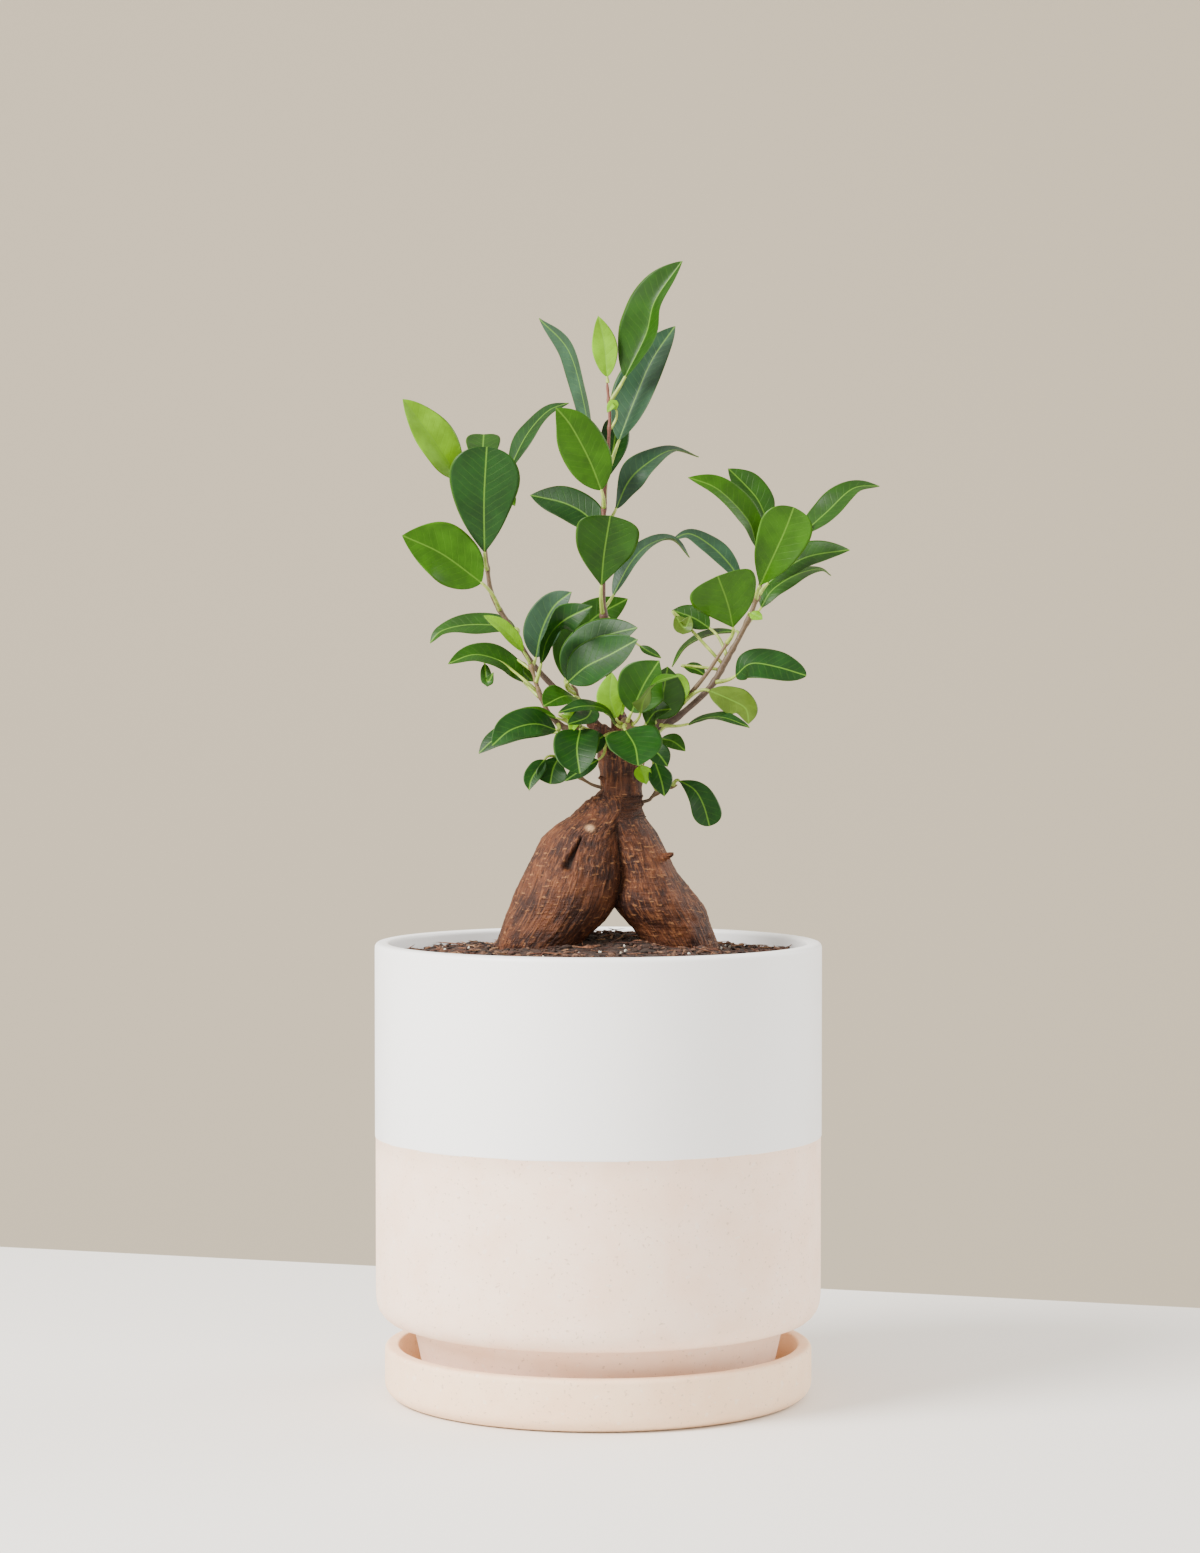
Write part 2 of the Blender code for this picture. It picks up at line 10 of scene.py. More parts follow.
import bpy
import numpy as np
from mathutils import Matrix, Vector


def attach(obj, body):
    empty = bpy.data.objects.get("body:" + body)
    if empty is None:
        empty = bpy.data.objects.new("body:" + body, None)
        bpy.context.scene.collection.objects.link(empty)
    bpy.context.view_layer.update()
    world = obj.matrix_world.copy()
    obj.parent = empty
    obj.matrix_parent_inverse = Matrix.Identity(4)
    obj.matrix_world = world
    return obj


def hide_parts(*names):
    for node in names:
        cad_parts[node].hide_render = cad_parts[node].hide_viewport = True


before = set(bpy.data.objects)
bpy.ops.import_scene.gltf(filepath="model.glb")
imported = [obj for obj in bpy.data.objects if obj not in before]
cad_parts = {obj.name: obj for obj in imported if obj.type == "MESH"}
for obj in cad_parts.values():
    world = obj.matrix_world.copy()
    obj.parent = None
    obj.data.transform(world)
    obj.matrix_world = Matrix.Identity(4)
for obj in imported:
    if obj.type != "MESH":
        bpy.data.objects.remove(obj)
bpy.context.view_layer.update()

bl_info = {
    "name": "Potted ginseng ficus",
    "version": (1, 0, 0),
    "blender": (4, 5, 0),
    "location": "3D View > Sidebar > Bonsai",
    "description": "Builds a small ginseng ficus in a two-tone pot, piece by piece",
    "category": "Object",
}

MM = 0.001
FULL_TURN = 6.283            # radians

# Pot, saucer and soil, mm
POT_WALL, POT_FLOOR, POT_SHOULDER = 5.0, 16.0, 25.5
POT_FOOT, POT_RECESS, DRAIN_RADIUS = 6.3, 8.3, 6.0
SAUCER_WALL, SAUCER_FLOOR = 4.8, 6.0
GLAZE_DEPTH = 0.22           # of the step from the glaze to the clay
SOIL_RADIUS, SOIL_FLOOR, LITTER_RADIUS = 69.6, 16.4, 69.0
SOIL_RINGS = 84
SOIL_EDGE = 147.9            # height of the soil at the pot's wall
NECK_AXIS = (7.4, 0.0)       # where the shoots leave the trunk
CROWN_FOOT = 215.0           # height above which a shoot leaves the crown and not the neck's side
SPLIT = ((-10.0, 179.4), (-5.6, 188.2))      # x and z of the split's two ends; its dark hole is painted shade
SCAR, SCAR_SIZE = (-2.6, 191.2), (1.3, 1.0)  # x and z, half width and half height
SPLIT_DEPTH, SPLIT_LIP = 2.2, 0.35
FRONT = -4.0                 # the split and the scar are in front of this y
PLAIN_GRID, YOUNG_GRID = (44, 19), (28, 13)  # rows and columns of a blade
PLAIN_SEED, YOUNG_SEED = 100, 300            # of the first leaf in each table
FILL_SHARE = 0.22            # power of the second light next to the first
CAMERA_DIP = 1.70            # degrees below level

# Root trunk: horizontal oval sections as (height, x, y, half width, half depth), mm
LEFT_LEG = [
    (130.0, -27.0, -3.0, 5.0, 5.0),
    (138.0, -25.0, -3.0, 10.5, 9.5),
    (151.0, -20.7, -3.0, 13.9, 13.0),
    (158.0, -16.0, -2.5, 16.3, 14.5),
    (165.0, -12.0, -2.0, 17.3, 15.0),
    (174.5, -9.0, -1.5, 16.6, 14.5),
    (182.0, -7.2, -1.0, 15.0, 12.8),
    (189.0, -4.6, -0.6, 13.0, 11.0),
    (196.0, 1.6, -0.3, 9.6, 9.0),
    (203.0, 6.4, 0.0, 6.4, 6.8),
]
RIGHT_LEG = [
    (130.0, 33.0, 2.0, 5.0, 5.0),
    (138.0, 31.5, 2.0, 9.5, 9.0),
    (151.0, 28.2, 1.5, 12.5, 12.0),
    (158.0, 24.6, 1.2, 13.5, 13.0),
    (165.0, 20.2, 1.0, 15.0, 13.4),
    (174.5, 17.2, 0.8, 10.4, 12.0),
    (182.0, 14.6, 0.5, 9.2, 10.8),
    (189.0, 12.0, 0.3, 8.0, 9.6),
    (196.0, 8.8, 0.2, 6.4, 8.0),
    (203.0, 8.2, 0.0, 6.1, 6.9),
]
NECK = [
    (191.0, 6.6, 0.0, 7.0, 7.4),
    (197.0, 6.9, 0.0, 7.9, 8.0),
    (203.0, 7.5, 0.0, 7.0, 7.1),
    (210.0, 7.4, 0.0, 6.9, 7.0),
    (216.0, 7.4, 0.0, 7.6, 7.6),
    (219.5, 7.4, 0.0, 5.6, 5.6),
]
TRUNK_STUBS = [              # broken twigs: foot, end, radius at the foot
    ((19.5, -6.0, 180.6), (25.4, -8.6, 182.6), 1.3),
    ((2.0, -7.0, 207.0), (-0.4, -8.6, 208.4), 1.2),
]

# Shoots: radius at the foot and at the tip, then the route, mm
SHOOTS = {
    "shoot_left": (1.25, 0.55, [
        (3.4, 2.9, 219.6), (2.9, 3.0, 221.4), (-6, 3, 230), (-13.8, 2, 237), (-22.5, 2, 246.6),
        (-28.6, 2, 257), (-35.2, 3, 268), (-37.6, 4, 279), (-38.6, 5, 291), (-38.4, 5, 300)]),
    "shoot_left_front": (1.15, 0.5, [
        (3.0, -1.6, 219.3), (2.4, -1.8, 221.0), (-3.0, -3, 222.6), (-10, -4.5, 224), (-15.5, -5, 228),
        (-19.0, -5, 234), (-21.2, -4.6, 241), (-23.0, -3.6, 247)]),
    "shoot_middle": (0.9, 0.5, [
        (6.2, -0.6, 219.2), (5.6, -0.6, 221), (-1, -1, 227), (-6.4, -1, 233.6), (-9, -1, 239)]),
    "shoot_centre": (1.4, 0.45, [
        (8.2, 3.4, 219.2), (7.4, 3.4, 225), (3.6, 2, 242), (1.6, 0.5, 262), (1.6, 0, 280),
        (2.2, 0, 300), (3.2, 0, 316), (4.0, 0, 329), (3.2, 0, 340)]),
    "shoot_front": (1.1, 0.6, [
        (8.4, -4.6, 219.2), (8.4, -4.9, 220.8), (8.8, -8, 223), (9.2, -13, 225.4), (9.4, -17, 226.6)]),
    "shoot_right": (1.3, 0.6, [
        (12.2, 2.2, 219.3), (12.6, 2.1, 221.0), (17, 1.6, 223.4),
        (24.4, 1, 226.6), (30.2, 1, 231), (38.4, 2, 239),
        (43.0, 3, 247), (49.6, 3, 259), (53.0, 3, 267), (55.4, 3, 276), (57.0, 2, 288)]),
    "shoot_right_front": (1.15, 0.5, [
        (12.0, -2.6, 219.3), (12.4, -2.8, 221.0), (16, -3.6, 224), (22, -4, 227.6), (29.0, -4, 234),
        (35.8, -4, 242), (40.2, -3.6, 248.4), (44.6, -3, 255.4)]),
    "twig_left": (0.6, 0.4, [
        (-0.6, -2.0, 205.0), (-4.0, -3, 206.6), (-7.6, -4, 209)]),
    "twig_right": (0.6, 0.4, [
        (16.4, -1.0, 200.0), (18.2, -1.4, 201.4), (21.0, -2, 203.6), (26.4, -3, 205.4)]),
}


class Leaf(NamedTuple):
    """One leaf. Lengths in mm, angles in degrees.

    spine runs along the midrib from the blade's foot to its tip. facing is the direction that the
    upper side looks in, as (turn, lift): turn 0 is the front and 90 the right, lift 90 is up.
    A twisted blade looks in tip_facing at its tip. fold lifts the margins about the midrib.
    """

    shoot: str
    height: float            # of the point on the shoot that the petiole leaves
    spine: list
    width: float
    facing: tuple
    tip_facing: tuple = None
    fold: float = 8.0
    shape: str = "oval"
    tone: str = "mid"        # of LEAF_TONES


# Leaves by region; a leaf's name is leaf_, its region and its place in the list, from 1
LEAVES = {
    "left": [
        Leaf("shoot_left", 299, [(-47, 2, 308), (-54, -3, 319), (-65, -8, 334)],
             16.5, (32, 10), fold=24, tone="fresh"),
        Leaf("shoot_left", 299, [(-38, 7, 309), (-39, 12, 317), (-39, 22, 324)],
             12, (0, 35), shape="blunt"),
        Leaf("shoot_left", 278, [(-38, -4, 283), (-38, -8, 301), (-37, -11, 318)],
             23.5, (-5, 5), shape="blunt", tone="shaded_deep"),
        Leaf("shoot_left", 264, [(-39, -6, 273), (-52, -10, 282.5), (-65, -14, 288.5)],
             21, (0, 24), fold=8, tone="key_lit"),
        Leaf("shoot_left", 298, [(-30, 5, 311), (-24, 7, 323), (-17, 9, 331), (-10, 11, 334)],
             11, (-50, 30), fold=10, tone="shaded_deep"),
        Leaf("shoot_left", 255,
             [(-28, 7, 258), (-35, 10, 259), (-45, 12, 259), (-53, 13, 257), (-57, 13, 253)],
             11, (-20, 40), tip_facing=(0, 60)),
        Leaf("shoot_left_front", 246, [(-25, -6, 250), (-31, -8, 257), (-38, -10, 262)],
             7, (40, 25), fold=15, tone="fresh"),
        Leaf("shoot_left_front", 235, [(-25, -2, 240), (-31, -3, 246), (-41, -5, 249), (-50, -8, 246)],
             11, (0, 50)),
    ],
    "top": [
        Leaf("shoot_centre", 334, [(9, 0, 342), (16, -2, 356), (19, -4, 367), (28, -6, 380)],
             20, (-42, 10), fold=32),
        Leaf("shoot_centre", 340, [(3, 0, 342), (2, -1, 353), (0, -3, 362)],
             8.5, (0, 0), fold=10, tone="fresh"),
        Leaf("shoot_centre", 309, [(7, 4, 321), (12, 7, 334), (18, 10, 348), (26, 13, 360)],
             17, (-30, 5), fold=20, tone="shaded_blue"),
        Leaf("shoot_centre", 314, [(-2, 7, 317), (-5, 10, 335), (-10, 14, 352), (-20, 17, 363)],
             12, (-68, 8), tone="shaded_blue"),
        Leaf("shoot_centre", 298, [(1, -3, 304), (-3, -5, 314), (-9, -8, 325), (-14, -10, 331)],
             16.5, (5, 5), tone="key_lit"),
        Leaf("shoot_centre", 285, [(0, 4, 288), (-3, 6, 295), (-11, 9, 300), (-23, 13, 303)],
             12.5, (-5, 20), tone="shaded_deep"),
        Leaf("shoot_centre", 262, [(1, -6, 272), (2, -10, 283), (4, -16, 295)],
             22, (5, 12), shape="wedge"),
        Leaf("shoot_centre", 292, [(6, 3, 298), (10, 5, 307), (16, 7, 313), (25, 10, 318), (34, 13, 316)],
             10, (60, 30), tip_facing=(0, 80), tone="shaded_blue"),
        Leaf("shoot_centre", 264,
             [(5, 4, 269), (11, 7, 280), (17, 10, 286), (25, 13, 288), (31, 14, 282)],
             9, (0, 75), tone="shaded_blue"),
    ],
    "middle": [
        Leaf("shoot_left_front", 245, [(-21, 1, 248), (-19, 1, 257), (-15, 0, 265), (-9, -2, 270)],
             13, (0, 20), tone="shaded_blue"),
        Leaf("shoot_left_front", 240, [(-19, -9, 246), (-17, -11, 254), (-12, -14, 260), (-2, -17, 265)],
             12, (60, 25), tone="shaded_deep"),
        Leaf("shoot_middle", 238, [(-11, 4, 241), (-8, 8, 252), (-2, 12, 261), (10, 15, 268)],
             16, (10, 30)),
        Leaf("shoot_middle", 236, [(-10, -8, 240), (-4, -12, 245), (4, -16, 249), (13, -20, 254)],
             16, (5, 28), tone="shaded_deep"),
        Leaf("shoot_middle", 233, [(-8, -7, 235), (-12, -12, 235), (-18, -18, 232)], 12, (0, 50)),
        Leaf("shoot_middle", 237, [(-10, -3, 240), (-6, -5, 249), (2, -8, 255), (13, -12, 258)],
             15, (0, 25), tone="shaded_deep"),
    ],
    "low": [
        Leaf("shoot_front", 226, [(6, -20, 226), (2, -23, 231), (-5, -27, 232), (-13, -31, 230)],
             10, (0, 65), tone="shaded_deep"),
        Leaf("shoot_left_front", 226,
             [(-14, -10, 224), (-21, -14, 226), (-29, -19, 224), (-35, -22, 219)],
             13, (0, 40), tone="shaded_deep"),
        Leaf("shoot_left_front", 224, [(-15, -1, 223), (-24, -1, 224), (-34, -2, 221), (-40, -3, 216)],
             11, (0, 50), tone="shaded_deep"),
        Leaf("shoot_left_front", 223, [(-6, -15, 224), (-7, -23, 218), (-6, -29, 210)],
             16, (-10, 30), shape="heart", tone="shaded_deep"),
        Leaf("twig_left", 209, [(-13, -7, 215), (-15, -9, 211), (-16, -11, 206)],
             10.5, (0, 20), shape="blunt", tone="shaded_deep"),
        Leaf("shoot_front", 226, [(6, -18, 228), (4, -19, 235), (4.6, -20.5, 243)],
             9, (-10, 15), tone="fresh"),
        Leaf("shoot_front", 226, [(11, -20, 230), (15, -22, 239), (20, -27, 247)], 17, (5, 25)),
        Leaf("shoot_front", 225, [(14, -24, 230), (15, -30, 235), (19, -35, 240), (26, -40, 242)],
             9, (0, 60), tone="key_lit"),
        Leaf("shoot_right_front", 226, [(18, -9, 228), (21, -12, 234), (23, -17, 245)], 15, (10, 15)),
        Leaf("shoot_front", 226, [(9, -25, 224), (12, -34, 219), (13, -42, 213)],
             19, (0, 45), shape="heart", tone="shaded_deep"),
        Leaf("twig_right", 205, [(27, -5, 207), (32, -8, 204), (35, -10, 199), (37, -12, 192)],
             11, (20, 20), shape="blunt", tone="shaded_deep"),
    ],
    "right": [
        Leaf("shoot_right", 268, [(54, -3, 272), (58, -7, 281), (62, -9, 290), (65, -11, 298)],
             18, (5, 8), shape="blunt", tone="key_lit"),
        Leaf("shoot_right", 276, [(53, -2, 285), (50, -3, 294), (40, -6, 304), (30, -8, 308)],
             11, (30, 25), fold=15, tone="key_lit"),
        Leaf("shoot_right", 285, [(57, 8, 294), (54, 10, 301), (50, 12, 306), (44, 14, 312)],
             12, (20, 15), fold=22),
        Leaf("shoot_right", 283, [(68, 6, 289), (77, 8, 297), (86, 10, 305), (95, 11, 306)], 12, (0, 60)),
        Leaf("shoot_right", 269, [(57, 1, 273), (63, 0, 278), (71, -1, 282), (84, -4, 284)], 12, (0, 42)),
        Leaf("shoot_right", 260,
             [(55, 9, 265), (59, 11, 271), (67, 13, 276), (75, 15, 278), (79, 16, 276)],
             10, (-15, 40), tip_facing=(0, 75)),
        Leaf("shoot_right", 268,
             [(48, 9, 274), (44, 11, 280), (38, 14, 286), (31, 17, 290), (25, 19, 288)],
             8, (0, 45), tone="shaded_blue"),
        Leaf("shoot_right_front", 253, [(45, -8, 258), (43, -13, 266), (39.5, -19, 275)],
             24, (-5, 15), shape="wedge", tone="key_lit"),
        Leaf("shoot_right", 248, [(37.5, 7, 258), (32, 8.5, 261.5), (25, 11, 264)], 9, (0, 30), fold=4),
        Leaf("shoot_right", 251, [(46, 9, 257), (38, 11, 256), (30, 14, 252), (25, 16, 245)], 8, (0, 70)),
        Leaf("shoot_right", 240, [(46, -4, 242), (51, -8, 246), (59, -12, 245), (69, -15, 242)],
             14, (0, 40), shape="heart", tone="shaded_deep"),
        Leaf("shoot_right_front", 233, [(37, -7, 237), (44, -9, 234), (49, -11, 231), (50, -13, 226)],
             12, (10, 40), tone="olive"),
        Leaf("shoot_right_front", 226, [(30, -10, 226), (36, -12, 228), (42, -16, 228), (50, -20, 225)],
             8, (0, 68), tone="shaded_deep"),
    ],
}
NAMED_LEAVES = {f"leaf_{region}_{place}": values for region, row in LEAVES.items()
                for place, values in enumerate(row, 1)}
BLADE_SHAPES = {             # exponents of the half width towards the foot and towards the tip
    "oval": (0.72, 0.86),
    "blunt": (1.0, 0.42),
    "heart": (0.50, 0.60),
    "wedge": (1.0, 0.30),
}

# Young, small or half hidden leaves, which stand on no CAD node
YOUNG_LEAVES = [
    Leaf("shoot_centre", 300, [(3, 5, 308), (5, 9, 318), (6.5, 17, 329)],
         10, (10, 20), shape="blunt", tone="shaded_deep"),
    Leaf("shoot_left", 290, [(-30, 4, 304), (-29, 4, 301), (-28, 4, 299)], 3, (0, 20), tone="key_lit"),
    Leaf("shoot_left_front", 244, [(-28, 3, 247), (-25, 5, 243), (-22, 6, 240)],
         5, (0, 30), tone="key_lit"),
    Leaf("shoot_left_front", 237, [(-38, -4, 246), (-37, -6, 240), (-35, -7, 243)], 4, (0, 20)),
    Leaf("shoot_left_front", 222, [(-12, -9, 229), (-8, -12, 228), (-9, -16, 223)],
         5, (0, 40), fold=14, tone="fresh"),
    Leaf("shoot_left_front", 223, [(-14, -6, 228), (-20, -8, 230), (-26, -10, 231)],
         4, (0, 45), tone="key_lit"),
    Leaf("twig_left", 208, [(-18, -8, 214), (-22, -11, 208), (-23, -13, 204)],
         6.5, (-10, 25), tone="shaded_deep"),
    Leaf("shoot_left_front", 221, [(0, -9, 214), (-5, -11, 211), (-11, -12, 207)],
         6, (10, 40), tone="shaded_deep"),
    Leaf("shoot_middle", 228, [(5, -3, 238), (6.5, -6, 234), (8, -9, 229)], 5, (0, 30), tone="fresh"),
    Leaf("shoot_right", 228, [(24, -3, 242), (27, -6, 239), (27, -9, 232)],
         7, (10, 30), fold=16, tone="fresh"),
    Leaf("shoot_front", 225, [(16, -14, 226), (19, -17, 230), (24, -20, 231)], 9, (0, 35)),
    Leaf("shoot_front", 224, [(16, -12, 219), (20, -15, 216), (23, -17, 212)], 8, (-5, 35), tone="shaded_deep"),
    Leaf("twig_right", 203, [(19, -8, 213), (21, -11, 207), (22, -13, 202)], 8, (10, 15), tone="shaded_deep"),
    Leaf("shoot_right", 226, [(21, -6, 221), (25, -8, 220), (29, -10, 217)], 6, (0, 35)),
    Leaf("twig_right", 203, [(14, -8, 212), (15, -10, 209), (16, -12, 206)], 6, (0, 20), tone="fresh"),
    Leaf("shoot_centre", 262, [(14, 2, 252), (17, 0, 250), (21, -2, 248)], 3.5, (0, 40)),
    Leaf("shoot_centre", 325, [(6, -1, 331), (5, -2, 333), (3, -3, 330)], 3, (0, 20), tone="fresh"),
    Leaf("shoot_right", 244, [(29, 5, 245), (33, 4, 244), (36, 3, 242)], 5, (0, 40)),
    Leaf("shoot_right", 262, [(51, 0, 263), (53, -1, 262), (55, -2, 261)], 4, (0, 30), tone="fresh"),
    Leaf("shoot_right", 284, [(66, 4, 287), (68, 4, 291), (71, 5, 294)], 5, (-10, 20), tone="shaded_blue"),
    Leaf("shoot_right", 246, [(26, 5, 262), (29, 4, 258), (31, 3, 262)], 6, (0, 30), tone="olive"),
    Leaf("shoot_middle", 230, [(-2, -8, 231), (-4, -14, 228), (-10, -20, 226)], 8, (0, 45), tone="shaded_deep"),
    Leaf("shoot_right_front", 224, [(18, 4, 232), (21, 8, 238), (26, 12, 240)], 9, (0, 45), tone="shaded_blue"),
    Leaf("shoot_front", 223, [(2, -8, 222), (-3, -10, 219), (-8, -12, 219)], 9, (0, 30), tone="shaded_deep"),
]

# Upper side colours of the leaves, sRGB. The bright tone is painted light on leaves that face the key
# light, and the deep and blue tones are painted shade on leaves in shadow; fresh, mid and olive are the
# leaves' own greens.
LEAF_TONES = {
    "fresh": "#6a9c08",
    # painted light: a leaf lit by the key light
    "key_lit": "#305c00",
    "mid": "#1c4200",
    # painted shade: a leaf in shadow
    "shaded_deep": "#113708",
    # painted shade: a leaf in shadow, seen as a dark blue-green
    "shaded_blue": "#294630",
    "olive": "#4c641c",
}


# ---------------------------------------------------------------- points and meshes

class Shell(NamedTuple):
    """One closed surface: its points in mm, its faces, its material's place and its attributes."""

    points: np.ndarray
    faces: list
    finish: int = 0
    values: dict = {}


def unit(vectors):
    """Each vector at length 1."""
    return vectors / np.linalg.norm(vectors, axis=-1, keepdims=True)


def lattice(cell, seed):
    """A repeatable number from 0 to 1 for each whole-number point of space."""
    n = cell[..., 0] * 374761393 + cell[..., 1] * 668265263 + cell[..., 2] * 1440662683 + seed * 974634777
    n = ((n & 0xFFFFFFFF) ^ ((n & 0xFFFFFFFF) >> 13)) * 1274126177 & 0xFFFFFFFF
    return ((n ^ (n >> 16)) & 0xFFFF) / 65535.0


def noise(points, size, seed):
    """Smooth noise from -1 to 1: corner values of a lattice of one size in mm, blended by a cubic."""
    place = np.asarray(points, float) / size
    cell = np.floor(place).astype(np.int64)
    share = place - cell
    share = share * share * (3 - 2 * share)
    total = np.zeros(place.shape[:-1])
    for step in np.ndindex(2, 2, 2):
        corner = np.array(step)
        weight = np.prod(np.where(corner, share, 1 - share), axis=-1)
        total += weight * lattice(cell + corner, seed)
    return 2 * total - 1


def smooth_path(route, count):
    """Points at even spacing along the Catmull-Rom curve through a route."""
    knots = np.array(route, float)
    padded = np.vstack([2 * knots[0] - knots[1], knots, 2 * knots[-1] - knots[-2]])
    place = np.linspace(0, len(knots) - 1, 24 * (len(knots) - 1) + 1)
    span = np.minimum(place.astype(int), len(knots) - 2)
    s = (place - span)[:, None]
    a, b, c, d = (padded[span + i] for i in range(4))
    path = 0.5 * (2 * b + (c - a) * s + (2 * a - 5 * b + 4 * c - d) * s ** 2
                  + (3 * b - a - 3 * c + d) * s ** 3)
    run = np.concatenate([[0.0], np.cumsum(np.linalg.norm(np.diff(path, axis=0), axis=1))])
    marks = np.linspace(0.0, run[-1], count)
    return np.stack([np.interp(marks, run, path[:, axis]) for axis in range(path.shape[1])], axis=1)


def grid_faces(rows, columns, flip=False):
    """Quads between rings of points that close round."""
    i, j = np.meshgrid(np.arange(rows - 1), np.arange(columns), indexing="ij")
    here, beside = i * columns + j, i * columns + (j + 1) % columns
    quads = np.stack([here, beside, beside + columns, here + columns], axis=-1).reshape(-1, 4)
    return quads[:, ::-1].tolist() if flip else quads.tolist()


def rings_shell(rings, finish=0, values=None):
    """A closed shell through rings of points, with a flat cap at each end."""
    rows, columns = rings.shape[:2]
    faces = grid_faces(rows, columns)
    faces.append(list(range(columns))[::-1])
    faces.append(list(range((rows - 1) * columns, rows * columns)))
    return Shell(rings.reshape(-1, 3), faces, finish, values or {})


def tube(path, radii, columns):
    """Rings round a path: middle + radius * (cos a * side + sin a * over), both square to the path."""
    along = unit(np.gradient(path, axis=0))
    fixed = np.eye(3)[np.argmin(np.abs(along).max(axis=0))]
    side = unit(np.cross(along, fixed))
    over = np.cross(along, side)
    angle = np.linspace(0, 2 * np.pi, columns, endpoint=False)[None, :, None]
    reach = np.asarray(radii)[:, None, None]
    return path[:, None] + reach * (np.cos(angle) * side[:, None] + np.sin(angle) * over[:, None])


def rounded(corners, spans=6):
    """A profile through (radius, height, rounding) corners; each corner becomes a short parabola."""
    corners = np.array(corners, float)
    spot = corners[:, :2]
    back = unit(np.roll(spot, 1, axis=0) - spot) * corners[:, 2:]
    on = unit(np.roll(spot, -1, axis=0) - spot) * corners[:, 2:]
    s = np.linspace(0, 1, spans + 1)[None, :, None]
    bends = spot[:, None] + (1 - s) ** 2 * back[:, None] + s ** 2 * on[:, None]
    points = bends.reshape(-1, 2)
    keep = np.ones(len(points), bool)
    keep[1:] = np.linalg.norm(np.diff(points, axis=0), axis=1) > 1e-6
    return points[keep]


def add_heights(profile, marks):
    """The profile with extra points where a straight side passes the given heights, last side down."""
    for mark in marks:
        high = (profile[:-1, 1] > mark) & (profile[1:, 1] < mark)
        at = int(np.flatnonzero(high)[0])
        share = (profile[at, 1] - mark) / (profile[at, 1] - profile[at + 1, 1])
        spot = profile[at] + share * (profile[at + 1] - profile[at])
        profile = np.insert(profile, at + 1, spot, axis=0)
    return profile


def revolved(profile, columns, change=None):
    """A shell turned about Z from a profile that runs down its outer side.

    The profile either starts and ends on the axis or closes on itself. change moves the rings.
    """
    poles = profile[0, 0] < 1e-6
    body = profile[1:-1] if poles else np.vstack([profile, profile[:1]])
    angle = np.linspace(0, 2 * np.pi, columns, endpoint=False)
    rings = np.stack([body[:, :1] * np.cos(angle), body[:, :1] * np.sin(angle),
                      np.repeat(body[:, 1:], columns, axis=1)], axis=-1)
    if change:
        rings = change(rings)
    rows = len(rings)
    if not poles:
        faces = np.array(grid_faces(rows, columns, flip=True))
        faces = np.where(faces >= (rows - 1) * columns, faces - (rows - 1) * columns, faces)
        return Shell(rings[:-1].reshape(-1, 3), faces.tolist())
    points = np.vstack([rings.reshape(-1, 3), [0, 0, profile[0, 1]], [0, 0, profile[-1, 1]]])
    faces = grid_faces(rows, columns, flip=True)
    first = np.arange(columns)
    beside = (first + 1) % columns
    top, bottom = rows * columns, rows * columns + 1
    last = (rows - 1) * columns
    faces += np.stack([np.full(columns, top), first, beside], axis=1).tolist()
    faces += np.stack([np.full(columns, bottom), last + beside, last + first], axis=1).tolist()
    return Shell(points, faces)


def store(mesh, key, values):
    """Stores a number, a colour or a place at each point of a mesh."""
    kind, field = ("FLOAT", "value")
    if key.endswith("colour"):
        kind, field = ("FLOAT_COLOR", "color")
        values = np.hstack([values, np.ones((len(values), 1))])
    elif values.shape[1:] == (3,):
        kind, field = ("FLOAT_VECTOR", "vector")
    mesh.attributes.new(key, kind, "POINT").data.foreach_set(field, values.ravel())


def add_piece(name, shells, finishes, nodes=()):
    """One mesh object from shells, riding on the part's single body."""
    faces, places, start = [], [], 0
    for shell in shells:
        faces += [[start + corner for corner in face] for face in shell.faces]
        places += [shell.finish] * len(shell.faces)
        start += len(shell.points)
    points = np.vstack([shell.points for shell in shells]) * MM
    mesh = bpy.data.meshes.new(name)
    mesh.from_pydata(points.tolist(), [], faces)
    mesh.polygons.foreach_set("material_index", places)
    for key in sorted({key for shell in shells for key in shell.values}):
        wide = 3 if key.endswith("colour") else 1
        parts = [np.broadcast_to(shell.values.get(key, np.zeros(wide)).reshape(-1, wide),
                                 (len(shell.points), wide)) for shell in shells]
        store(mesh, key, np.vstack(parts))
    mesh.validate()
    mesh.shade_smooth()
    for finish in finishes:
        mesh.materials.append(finish)
    piece = bpy.data.objects.new(name, mesh)
    bpy.context.collection.objects.link(piece)
    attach(piece, "root")
    if nodes:
        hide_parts(*nodes)
    return piece


# ---------------------------------------------------------------- materials

def linear(text):
    """Linear RGB of an sRGB hex colour."""
    parts = np.array([int(text[i:i + 2], 16) for i in (1, 3, 5)]) / 255.0
    return np.where(parts <= 0.04045, parts / 12.92, ((parts + 0.055) / 1.055) ** 2.4)


def rgba(text):
    """The same with alpha 1, for a colour socket."""
    return (*linear(text), 1.0)


def node(tree, kind, inputs=None, **settings):
    """Add a shader node; inputs maps a socket to a value or to the socket that feeds it."""
    made = tree.nodes.new(kind)
    for key, value in settings.items():
        setattr(made, key, value)
    for socket, value in (inputs or {}).items():
        if isinstance(value, bpy.types.NodeSocket):
            tree.links.new(value, made.inputs[socket])
        else:
            made.inputs[socket].default_value = value
    return made


